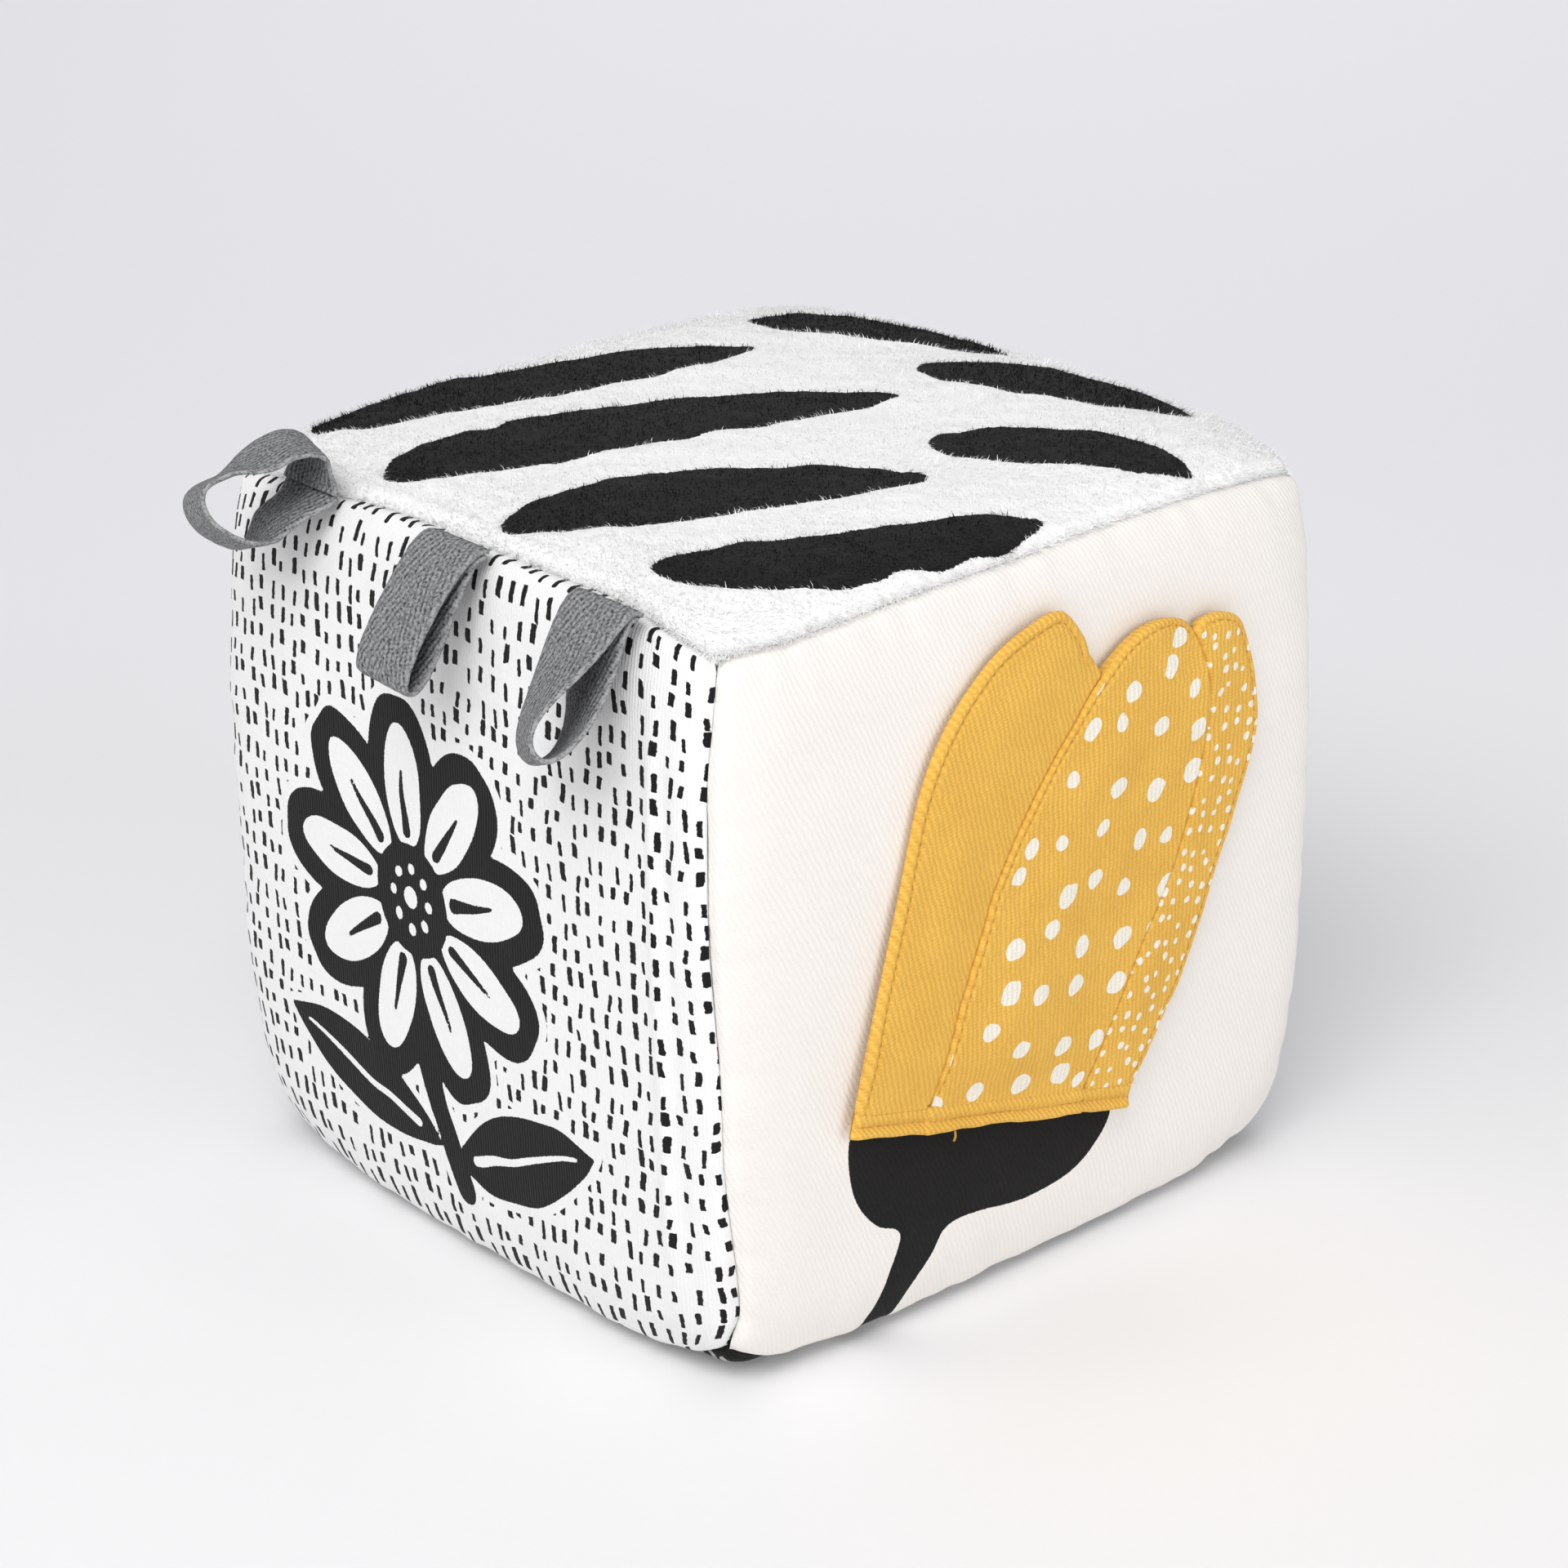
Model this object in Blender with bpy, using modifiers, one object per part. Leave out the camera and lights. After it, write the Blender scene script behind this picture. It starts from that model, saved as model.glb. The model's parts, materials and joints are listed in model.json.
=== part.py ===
"""A soft fabric activity block for a baby.

Six sewn panels cover a foam core that is cut in two around a rattle. Three tape
loops hang from the top seam of the printed front, and three crinkle flaps are
sewn along a slanting hem on the right side.

Units are metres and +Z is up. The origin is on the table, under the middle of the
block. The front faces -Y and the right side faces +X.
"""

import math

import bmesh
import bpy
from mathutils import Matrix, Vector

# Block: cut as a cube, it has settled a little lower and deeper than it is wide.
WIDTH = 0.140  # from seam to seam, in X
DEPTH = 0.145  # in Y
HEIGHT = 0.136  # in Z
CROWN = 0.0028  # rise of a face from its corners to its middle
ROLL = 0.0028  # rise of the cloth right beside a seam
CORNER = 0.0022  # how far a corner is drawn in
TURN_POWER = 12  # a higher power turns the cloth down closer to the seam
REST_DEPTH = 0.0005  # depth to which the bottom is pressed flat by the table
GRID = 12  # strips across a face

# Cloth
COTTON = 0.0010
PLUSH = 0.0018
SEAM_TURN = 0.0050  # how far the turned-in allowance reaches along each side
FIT = 0.0003  # clearance between pieces that touch

# Rattle capsule in the middle of the core
RATTLE_RADIUS = 0.0160
RATTLE_WALL = 0.0018
RATTLE_LIP = 0.0016  # height of the lip that holds the two halves together
BEAD_RADIUS = 0.0026
BEADS_ROUND = 5  # beads round the one in the middle
TURNED_STEPS = 20

# Flaps: the hem is the line along which all three are stitched down.
HEM_ALONG = -0.0147  # the fold's middle, from the middle of the right side towards +Y
HEM_UP = -0.0304  # the same, upwards
HEM_SLOPE = math.radians(14.5)  # the hem drops towards the back
HEM_LENGTH = 0.0704
HEM_HEIGHT = 0.0038
FLAP_LENGTH = 0.0896  # from the fold to the highest tip
FLAP_CLOTH = 0.0008
FLAP_FILM = 0.0003
FLAP_SEAM = 0.0028  # width of the sewn rim that closes a flap round its film
FLAP_EDGE = 0.0003  # rounding of a flap's turned edge
FLAP_GAP = 0.0010  # between neighbouring flaps

# Petal outlines, clockwise from the hem's left end, in hem lengths along the fold
# from its middle and in flap lengths up from it.
MIDDLE_PETAL = (
    (-0.251, 0.000),
    (-0.227, 0.179),
    (-0.205, 0.325),
    (-0.175, 0.480),
    (-0.114, 0.625),
    (-0.028, 0.762),
    (0.065, 0.877),
    (0.163, 0.955),
    (0.277, 0.987),
    (0.374, 0.962),
    (0.470, 0.838),
    (0.493, 0.681),
    (0.472, 0.483),
    (0.402, 0.296),
    (0.311, 0.000),
)
LEFT_PETAL = (
    (-0.500, 0.000),
    (-0.496, 0.212),
    (-0.490, 0.446),
    (-0.483, 0.647),
    (-0.433, 0.781),
    (-0.330, 0.901),
    (-0.220, 0.969),
    (-0.122, 1.000),
    (-0.037, 0.958),
    (0.007, 0.915),
)
RIGHT_PETAL = (
    (0.412, 0.989),
    (0.479, 1.000),
    (0.563, 0.978),
    (0.648, 0.875),
    (0.702, 0.753),
    (0.695, 0.625),
    (0.661, 0.458),
    (0.621, 0.251),
    (0.510, 0.000),
)
# The neighbours meet the middle flap from the fold to these points of its outline.
MEETS_LEFT = 6
MEETS_RIGHT = 9
CURVE_STEPS = 3  # straight pieces between two points of an outline

# Tape loops: where each hangs along the top front seam, how long and how wide open
# it is, and the angles from straight down at which it leaves the seam and ends.
TAPE_WIDTH = 0.0160
TAPE = 0.0011
LOOP_ROOT = 0.0030  # stitched length before the two ends part
LOOP_POINTS = 12  # points round the hole of a loop
ROOT_STEPS = 6  # straight pieces round its root
LOOPS = (
    ("loop_left", -0.0380, 0.0325, 0.0100, math.radians(103), math.radians(97)),
    ("loop_middle", 0.0060, 0.0290, 0.0028, math.radians(56), math.radians(25)),
    ("loop_right", 0.0459, 0.0285, 0.0085, math.radians(60), math.radians(20)),
)

MERGE = 1e-6  # points closer than this are one

HALF = Vector((WIDTH, DEPTH, HEIGHT)) / 2
RISE = CROWN + ROLL
CENTRE_Z = HALF.z + RISE - REST_DEPTH
SEAM_GAP = FIT / math.sqrt(2)
FLAP_POCKET = FLAP_FILM + 2 * FIT
FLAP_THICKNESS = 2 * FLAP_CLOTH + FLAP_POCKET
HINGE_PLANE = HALF.x + RISE + FIT + FLAP_THICKNESS

WHITE_PLUSH = (0.80, 0.80, 0.81)
WHITE_COTTON = (0.86, 0.84, 0.82)
DARK_COTTON = (0.05, 0.05, 0.05)
YELLOW_TWILL = (0.80, 0.46, 0.09)
GREY_TAPE = (0.24, 0.25, 0.26)
FOAM = (0.85, 0.83, 0.74)
CAPSULE = (0.75, 0.76, 0.78)
BEAD = (0.20, 0.45, 0.70)
FILM = (0.70, 0.72, 0.74)


def clear_scene():
    for item in list(bpy.data.objects):
        bpy.data.objects.remove(item, do_unlink=True)


def new_collection(name):
    collection = bpy.data.collections.new(name)
    bpy.context.scene.collection.children.link(collection)
    return collection


clear_scene()
BLOCK = new_collection("soft_activity_block")
CUTTERS = new_collection("cutters")


def material(name, colour, roughness):
    made = bpy.data.materials.new(name)
    made.use_nodes = True
    shader = made.node_tree.nodes["Principled BSDF"]
    shader.inputs["Base Color"].default_value = (*colour, 1)
    shader.inputs["Roughness"].default_value = roughness
    shader.inputs["Metallic"].default_value = 0.0
    return made


def add_object(name, data, colour=None, roughness=0.9, parent=None, collection=BLOCK):
    made = bpy.data.objects.new(name, data)
    collection.objects.link(made)
    made.parent = parent
    if colour:
        data.materials.append(material(name, colour, roughness))
    return made


def add_empty(name, location, rotation=None):
    made = bpy.data.objects.new(name, None)
    BLOCK.objects.link(made)
    made.location = location
    if rotation:
        made.rotation_euler = rotation.to_euler()
    return made


def mesh_from(bm, name, smooth_angle=40):
    """Write a bmesh to a mesh with its round places shaded smooth."""
    bmesh.ops.recalc_face_normals(bm, faces=bm.faces)
    mesh = bpy.data.meshes.new(name)
    bm.to_mesh(mesh)
    bm.free()
    mesh.shade_smooth()
    mesh.set_sharp_from_angle(angle=math.radians(smooth_angle))
    return mesh


def evaluated_mesh(made):
    """A curve's solid as a mesh, with its loose caps welded on."""
    bpy.context.view_layer.update()
    graph = bpy.context.evaluated_depsgraph_get()
    mesh = bpy.data.meshes.new_from_object(made.evaluated_get(graph))
    bm = bmesh.new()
    bm.from_mesh(mesh)
    bmesh.ops.remove_doubles(bm, verts=bm.verts, dist=MERGE)
    bpy.data.meshes.remove(mesh)
    return mesh_from(bm, made.name)


def cut(made, cutter):
    """Cut one object with another, which stays as a hidden guide."""
    cutter.hide_render = True
    cutter.display_type = "WIRE"
    boolean = made.modifiers.new("cut_" + cutter.name, "BOOLEAN")
    boolean.operation = "DIFFERENCE"
    boolean.solver = "EXACT"
    boolean.object = cutter


# The shape of the block: u and v run from -1 to 1 across a face that looks up.


def bow(t):
    """How far a seam bows out between its corners, which are drawn in."""
    return CROWN * (1 - t * t) / 2 - CORNER * abs(t) ** TURN_POWER


def rise(u, v):
    """How far a face stands out past the plane of its seams."""
    turn_u, turn_v = abs(u) ** TURN_POWER, abs(v) ** TURN_POWER
    crown = CROWN * (1 - (u * u + v * v) / 2)
    return crown + ROLL * (1 - turn_u) * (1 - turn_v) - CORNER * turn_u * turn_v


def face_point(half, u, v, inset=0.0):
    """A point of a face of the given half sizes, its sides drawn in by the inset."""
    across = u * (half.x + bow(v) - inset)
    along = v * (half.y + bow(u) - inset)
    return Vector((across, along, half.z + rise(u, v)))


def right_face(along, up):
    """How far the right side lies from the block's middle plane, over a given spot."""
    u, v = along / HALF.y, up / HALF.z
    for _ in range(3):
        u, v = along / (HALF.y + bow(v)), up / (HALF.z + bow(u))
    return HALF.x + rise(u, v)


def station(index):
    """Lines of the grid gather towards the seams, where the cloth turns."""
    return math.sin(math.pi / 2 * (2 * index / GRID - 1))


SIDES = {
    "top": Matrix.Identity(3),
    "front": Matrix.Rotation(math.pi / 2, 3, "X"),
    "right": Matrix.Rotation(math.pi / 2, 3, "Y"),
    "back": Matrix.Rotation(-math.pi / 2, 3, "X"),
    "left": Matrix.Rotation(-math.pi / 2, 3, "Y"),
    "bottom": Matrix.Rotation(math.pi, 3, "X"),
}


def half_sizes(side):
    """The block's half sizes as seen in the frame of a side that looks up."""
    return Vector([abs(size) for size in SIDES[side].transposed() @ HALF])


SIDE_CLOTH = {side: COTTON for side in SIDES}
SIDE_CLOTH["top"] = PLUSH
SIDE_COLOUR = {side: WHITE_COTTON for side in SIDES}
SIDE_COLOUR["top"] = WHITE_PLUSH
SIDE_COLOUR["bottom"] = DARK_COTTON
# Only the bottom is pressed flat.
SIDE_REACH = {side: half_sizes(side).z + RISE for side in SIDES}
SIDE_REACH["bottom"] -= REST_DEPTH


def panel(side, block):
    """One cloth panel: a crowned face whose allowance turns in at each seam."""
    bm = bmesh.new()
    bmesh.ops.create_grid(bm, x_segments=GRID, y_segments=GRID, size=1)
    for vert in bm.verts:
        u = station(round((vert.co.x + 1) / 2 * GRID))
        v = station(round((vert.co.y + 1) / 2 * GRID))
        vert.co = (u, v, 0)
    seams = [edge for edge in bm.edges if edge.is_boundary]
    turned = bmesh.ops.extrude_edge_only(bm, edges=seams)["geom"]
    turned = {item for item in turned if isinstance(item, bmesh.types.BMVert)}
    half = half_sizes(side)
    for vert in bm.verts:
        u, v, _ = vert.co
        vert.co = face_point(half, u, v, SEAM_GAP)
        if vert in turned:
            vert.co -= SEAM_TURN * Vector((u, v, 1))
    press_flat(bm, SIDE_REACH[side])
    mesh = mesh_from(bm, side + "_panel")
    made = add_object(side + "_panel", mesh, SIDE_COLOUR[side], parent=block)
    made.rotation_euler = SIDES[side].to_euler()
    cloth = made.modifiers.new("cloth", "SOLIDIFY")
    cloth.thickness = SIDE_CLOTH[side]
    cloth.offset = -1
    cloth.use_even_offset = True
    return made


def press_flat(bm, height):
    """Flatten whatever stands above a height, with a clean outline round the flat."""
    everything = [*bm.verts, *bm.edges, *bm.faces]
    up = Vector((0, 0, 1))
    bmesh.ops.bisect_plane(bm, geom=everything, dist=MERGE, plane_co=height * up, plane_no=up)
    for vert in bm.verts:
        vert.co.z = min(vert.co.z, height)


def core_half(name, block, sign, pocket):
    """Half of the foam: the hull of six crowned faces that clear the seams."""
    # A face of the core stops where the bevel between two faces clears the seams.
    turned_in = 2 * SEAM_TURN + CORNER + RISE - COTTON
    bm = bmesh.new()
    for side, turn in SIDES.items():
        half = half_sizes(side)
        for step_u in range(-3, 4):
            for step_v in range(-3, 4):
                u = step_u / 3 * (1 - turned_in / half.x)
                v = step_v / 3 * (1 - turned_in / half.y)
                point = face_point(half, u, v)
                point.z = min(point.z, SIDE_REACH[side]) - SIDE_CLOTH[side] - FIT
                bm.verts.new(turn @ point)
    hull = bmesh.ops.convex_hull(bm, input=bm.verts)
    loose = {item for item in hull["geom_interior"] if isinstance(item, bmesh.types.BMVert)}
    bmesh.ops.delete(bm, geom=list(loose), context="VERTS")
    split = bmesh.ops.bisect_plane(
        bm,
        geom=[*bm.verts, *bm.edges, *bm.faces],
        dist=MERGE,
        plane_co=(0, 0, sign * FIT / 2),
        plane_no=(0, 0, -sign),
        clear_outer=True,
    )
    rim = [item for item in split["geom_cut"] if isinstance(item, bmesh.types.BMEdge)]
    bmesh.ops.edgeloop_fill(bm, edges=rim)
    made = add_object(name, mesh_from(bm, name), FOAM, parent=block)
    cut(made, pocket)
    return made


def pocket_cutter(block):
    """The round pocket that the rattle sits in, cut from both halves of the core."""
    bm = bmesh.new()
    facet = math.cos(math.pi / TURNED_STEPS) ** 2
    bmesh.ops.create_uvsphere(
        bm,
        u_segments=TURNED_STEPS,
        v_segments=TURNED_STEPS // 2,
        radius=(RATTLE_RADIUS + FIT) / facet,
    )
    return add_object("pocket", mesh_from(bm, "pocket"), parent=block, collection=CUTTERS)


def arc(radius, start, end, steps=6):
    """Points of an arc in the XZ plane, by the angle from straight up."""
    angles = [start + (end - start) * step / steps for step in range(steps + 1)]
    return [(radius * math.sin(angle), radius * math.cos(angle)) for angle in angles]


def turned(name, profile, colour, roughness, parent):
    """Turn a profile of (radius, height) points round Z."""
    mesh = bpy.data.meshes.new(name)
    edges = [(index, index + 1) for index in range(len(profile) - 1)]
    mesh.from_pydata([(radius, 0, height) for radius, height in profile], edges, [])
    made = add_object(name, mesh, colour, roughness, parent)
    screw = made.modifiers.new("turn", "SCREW")
    screw.axis = "Z"
    screw.steps = TURNED_STEPS
    screw.render_steps = TURNED_STEPS
    screw.use_merge_vertices = True
    screw.merge_threshold = MERGE
    screw.use_smooth_shade = True
    return made


def rattle(block):
    """A two-part capsule, joined by a lip, with loose beads inside."""
    inner = RATTLE_RADIUS - RATTLE_WALL
    lip = inner + (RATTLE_WALL - FIT) / 2
    rebate = lip + FIT
    rim = math.acos(FIT / 2 / RATTLE_RADIUS)
    lower = arc(inner, math.pi, math.pi / 2)
    lower += [(inner, RATTLE_LIP), (lip, RATTLE_LIP), (lip, -FIT / 2)]
    lower += arc(RATTLE_RADIUS, math.pi - rim, math.pi)
    upper = arc(RATTLE_RADIUS, 0, rim)
    upper += [(rebate, FIT / 2), (rebate, RATTLE_LIP + FIT)]
    upper += arc(inner, math.acos((RATTLE_LIP + FIT) / inner), 0)
    # The two ends of a profile lie on the axis exactly.
    for profile in (lower, upper):
        profile[0] = (0, profile[0][1])
        profile[-1] = (0, profile[-1][1])
    turned("rattle_shell_lower", lower, CAPSULE, 0.3, block)
    turned("rattle_shell_upper", upper, CAPSULE, 0.3, block)

    fall = inner * math.cos(math.pi / TURNED_STEPS) ** 2 - BEAD_RADIUS - FIT
    spread = 2 * BEAD_RADIUS + 2 * FIT
    drop = math.sqrt(fall**2 - spread**2)
    places = [Vector((0, 0, -fall))]
    for index in range(BEADS_ROUND):
        angle = 2 * math.pi * index / BEADS_ROUND
        places.append(Vector((spread * math.cos(angle), spread * math.sin(angle), -drop)))
    bm = bmesh.new()
    bmesh.ops.create_icosphere(bm, subdivisions=2, radius=BEAD_RADIUS)
    mesh = mesh_from(bm, "bead")
    mesh.materials.append(material("bead", BEAD, 0.3))
    for number, place in enumerate(places, start=1):
        made = add_object("bead_" + str(number), mesh, parent=block)
        made.location = place


def flap_hem(frame):
    """The stitched strip that holds the flaps, a bar whose back follows the panel."""
    pieces = 12
    bm = bmesh.new()
    bmesh.ops.create_cube(bm, size=1)
    lengthwise = [edge for edge in bm.edges if edge.verts[0].co.x != edge.verts[1].co.x]
    bmesh.ops.subdivide_edges(bm, edges=lengthwise, cuts=pieces - 1)
    placed = frame.matrix_local
    for vert in bm.verts:
        along = vert.co.x * HEM_LENGTH
        up = -FIT / 2 - (0.5 - vert.co.y) * (HEM_HEIGHT - FIT / 2)
        spot = placed @ Vector((along, up, 0))
        back = right_face(spot.y, spot.z) + FIT - spot.x
        vert.co = (along, up, back if vert.co.z < 0 else 0)
    made = add_object("flap_hem", mesh_from(bm, "flap_hem"), YELLOW_TWILL, parent=frame)
    edge = made.modifiers.new("rounded", "BEVEL")
    edge.width = FLAP_EDGE
    edge.segments = 2
    edge.angle_limit = math.radians(60)
    return made


def smooth_line(points):
    """Points along a smooth curve through the given ones (a Catmull-Rom spline)."""
    known = [points[0], *points, points[-1]]
    line = []
    for before, start, end, after in zip(known, known[1:], known[2:], known[3:], strict=False):
        for step in range(CURVE_STEPS):
            t = step / CURVE_STEPS
            weights = (
                (-t + 2 * t**2 - t**3) / 2,
                (2 - 5 * t**2 + 3 * t**3) / 2,
                (t + 4 * t**2 - 3 * t**3) / 2,
                (t**3 - t**2) / 2,
            )
            line.append(
                tuple(
                    sum(w * p[axis] for w, p in zip(weights, (before, start, end, after)))
                    for axis in (0, 1)
                )
            )
    return [*line, points[-1]]


def flap_outline(name):
    """A flap's outline in metres; its neighbours keep clear of the middle flap."""

    def sized(petal):
        return [(x * HEM_LENGTH, y * FLAP_LENGTH) for x, y in smooth_line(petal)]

    middle = sized(MIDDLE_PETAL)
    if name == "middle":
        outline = middle
    elif name == "left":
        shared = middle[: MEETS_LEFT * CURVE_STEPS + 1]
        outline = sized(LEFT_PETAL) + [(x - FLAP_GAP, y) for x, y in reversed(shared)]
    else:
        shared = middle[MEETS_RIGHT * CURVE_STEPS :]
        outline = [(x + FLAP_GAP, y) for x, y in reversed(shared)] + sized(RIGHT_PETAL)
    return [(x, max(y, FIT / 2)) for x, y in outline]


def inset_outline(outline, inset):
    """A clockwise outline drawn in, without the points where it would cross itself."""
    points = [Vector(point) for point in outline]
    sides = list(zip(points, points[1:] + points[:1], strict=True))
    drawn_in = []
    for (before, here), (_, after) in zip(sides, sides[1:] + sides[:1], strict=True):
        arriving = (here - before).normalized()
        way = (arriving + (after - here).normalized()).normalized()
        inward = Vector((way.y, -way.x))
        point = here + inward * inset / inward.dot(Vector((arriving.y, -arriving.x)))
        nearest = min(distance_to(point, *side) for side in sides)
        if nearest > inset - MERGE:
            drawn_in.append(point)
    return drawn_in


def distance_to(point, start, end):
    """How far a point lies from a straight side."""
    share = (point - start).dot(end - start) / (end - start).length_squared
    return (point - start.lerp(end, min(max(share, 0), 1))).length


def plate(name, outline, low, high, parent, rounding=0.0):
    """A flat plate between two heights, with rounded edges where asked."""
    curve = bpy.data.curves.new(name, "CURVE")
    curve.dimensions = "2D"
    curve.fill_mode = "BOTH"
    curve.extrude = (high - low) / 2 - rounding
    curve.bevel_depth = rounding
    curve.bevel_resolution = 1
    curve.offset = -rounding
    spline = curve.splines.new("POLY")
    spline.points.add(len(outline) - 1)
    spline.use_cyclic_u = True
    for point, (x, y) in zip(spline.points, outline, strict=True):
        point.co = (x, y, 0, 1)
    drawn = add_object(name + "_outline", curve, parent=parent)
    mesh = evaluated_mesh(drawn)
    bpy.data.objects.remove(drawn)
    made = add_object(name, mesh, parent=parent)
    made.location.z = (low + high) / 2
    return made


def flap(name, frame):
    """A flap is a back with a sewn rim, a crinkle film in it, and a front over both."""
    outline = flap_outline(name)
    back_floor = FLAP_CLOTH - FLAP_THICKNESS
    front_low = -FLAP_CLOTH
    label = "flap_" + name
    front = plate(label + "_front", outline, front_low, 0, frame, FLAP_EDGE)
    back = plate(label + "_back", outline, -FLAP_THICKNESS, front_low - FIT, frame)
    film_outline = inset_outline(outline, FLAP_SEAM + FIT)
    film = plate(label + "_film", film_outline, back_floor + FIT, front_low - FIT, frame)
    pocket_outline = inset_outline(outline, FLAP_SEAM)
    pocket = plate(label + "_pocket", pocket_outline, back_floor, FLAP_CLOTH, frame)
    BLOCK.objects.unlink(pocket)
    CUTTERS.objects.link(pocket)
    cut(back, pocket)
    for piece, colour, roughness in (
        (front, YELLOW_TWILL, 0.9),
        (back, YELLOW_TWILL, 0.9),
        (film, FILM, 0.25),
    ):
        piece.data.materials.append(material(piece.name, colour, roughness))


def spine_point(distance, length, leave, end):
    """A loop's middle line bends evenly; returns the point and the way it heads."""
    bend = (end - leave) / length
    heading = leave + bend * distance
    if abs(end - leave) < 1e-6:
        out, down = distance * math.sin(leave), distance * math.cos(leave)
    else:
        out = (math.cos(leave) - math.cos(heading)) / bend
        down = (math.sin(heading) - math.sin(leave)) / bend
    return Vector((out, down)), Vector((math.sin(heading), math.cos(heading)))


def loop_outlines(length, opening, leave, end):
    """The hole of a teardrop loop and its outside, one tape's thickness further out.

    The root is round about the hinge, so that it clears the seam at every angle.
    """
    hole_length = length - LOOP_ROOT - TAPE
    hole = []
    for index in range(LOOP_POINTS):
        turn = math.pi * index / LOOP_POINTS
        along = LOOP_ROOT + hole_length * math.sin(turn)
        aside = opening / 2 * math.sin(2 * turn)
        middle, heading = spine_point(along, length, leave, end)
        hole.append(middle + aside * Vector((heading.y, -heading.x)))
    outside = []
    for index in range(1, LOOP_POINTS):
        after = hole[(index + 1) % LOOP_POINTS]
        way = (after - hole[index - 1]).normalized()
        outside.append(hole[index] + TAPE * Vector((way.y, -way.x)))
    root, heading = spine_point(0, length, leave, end)
    side = Vector((heading.y, -heading.x))
    for step in range(ROOT_STEPS + 1):
        angle = math.pi * step / ROOT_STEPS
        outside.append(root - TAPE * (math.cos(angle) * side + math.sin(angle) * heading))
    return hole, outside


def tape_loop(name, place, length, opening, leave, end, block):
    """A loop of woven tape, whose origin is where it folds at the top front seam."""
    hole, outside = loop_outlines(length, opening, leave, end)
    curve = bpy.data.curves.new(name, "CURVE")
    curve.dimensions = "2D"
    curve.fill_mode = "BOTH"
    curve.extrude = TAPE_WIDTH / 2
    for outline in (outside, hole):
        spline = curve.splines.new("POLY")
        spline.points.add(len(outline) - 1)
        spline.use_cyclic_u = True
        for point, (out, down) in zip(spline.points, outline, strict=True):
            point.co = (out, down, 0, 1)
    drawn = add_object(name + "_outline", curve)
    mesh = evaluated_mesh(drawn)
    bpy.data.objects.remove(drawn)
    made = add_object(name, mesh, GREY_TAPE, parent=block)
    # The outline's X points out of the front, its Y down, and its depth along the seam.
    axes = Matrix(((0, 0, 1), (-1, 0, 0), (0, -1, 0)))
    made.rotation_euler = axes.to_euler()
    # The round root lies against the edges of both panels.
    reach = TAPE + FIT
    proud = bow(place / HALF.x) + (math.sqrt(2 * reach**2 - SEAM_GAP**2) - SEAM_GAP) / 2
    made.location = (place, -HALF.y - proud, HALF.z + proud)


def build():
    block = add_empty("block", (0, 0, CENTRE_Z))
    for side in SIDES:
        panel(side, block)
    pocket = pocket_cutter(block)
    core_half("core_lower", block, -1, pocket)
    core_half("core_upper", block, 1, pocket)
    rattle(block)

    # The flaps' frame: X along the hem, Y up the flaps, Z out of the right side.
    along = Vector((0, math.cos(HEM_SLOPE), -math.sin(HEM_SLOPE)))
    up = Vector((0, math.sin(HEM_SLOPE), math.cos(HEM_SLOPE)))
    out = Vector((1, 0, 0))
    turn = Matrix((along, up, out)).transposed()
    hinge = add_empty("flap_hinge", (HINGE_PLANE, HEM_ALONG, HEM_UP), turn)
    hinge.parent = block
    bpy.context.view_layer.update()
    flap_hem(hinge)
    for name in ("left", "middle", "right"):
        flap(name, hinge)

    for name, place, length, opening, leave, end in LOOPS:
        tape_loop(name, place, length, opening, leave, end, block)
    bpy.context.view_layer.update()


build()
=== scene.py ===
"""The looks of a soft fabric activity block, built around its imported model.

Units are metres and +Z is up. The printed front faces -Y and the right side, with
the flaps, faces +X. The sections follow the block as it is sewn: the cover and its
six panels, the foam and the rattle inside, the tape loops, the hem and the flaps.
"""

import json
import math

import bpy
import numpy as np
from mathutils import Matrix, Vector, geometry


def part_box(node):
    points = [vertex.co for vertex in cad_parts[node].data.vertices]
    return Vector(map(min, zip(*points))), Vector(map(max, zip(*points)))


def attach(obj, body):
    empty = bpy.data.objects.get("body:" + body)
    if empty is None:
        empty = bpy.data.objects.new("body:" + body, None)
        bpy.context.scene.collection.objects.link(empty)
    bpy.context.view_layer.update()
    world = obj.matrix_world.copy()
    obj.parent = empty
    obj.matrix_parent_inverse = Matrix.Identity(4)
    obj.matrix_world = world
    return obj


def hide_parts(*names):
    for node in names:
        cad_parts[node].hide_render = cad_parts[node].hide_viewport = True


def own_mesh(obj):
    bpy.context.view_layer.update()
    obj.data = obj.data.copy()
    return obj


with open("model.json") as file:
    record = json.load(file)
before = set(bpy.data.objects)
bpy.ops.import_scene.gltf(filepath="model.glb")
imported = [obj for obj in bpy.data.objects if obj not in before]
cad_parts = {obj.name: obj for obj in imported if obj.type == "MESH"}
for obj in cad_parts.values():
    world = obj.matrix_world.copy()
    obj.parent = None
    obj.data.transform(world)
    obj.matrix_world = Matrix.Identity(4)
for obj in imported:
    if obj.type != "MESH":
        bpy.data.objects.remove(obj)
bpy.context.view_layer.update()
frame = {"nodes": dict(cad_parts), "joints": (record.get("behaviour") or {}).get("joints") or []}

# Picture
# The block stands on a pale seamless floor under soft studio light, seen from over
# its near corner. The camera was fitted to the seams of the block.
CAMERA_PLACE = Vector((0.52403, -0.45634, 0.37178))
CAMERA_TURN = (math.radians(48.725), math.radians(-23.128), math.radians(-0.6652))
LENS = 91.14  # millimetres, on a 36 mm sensor

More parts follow.
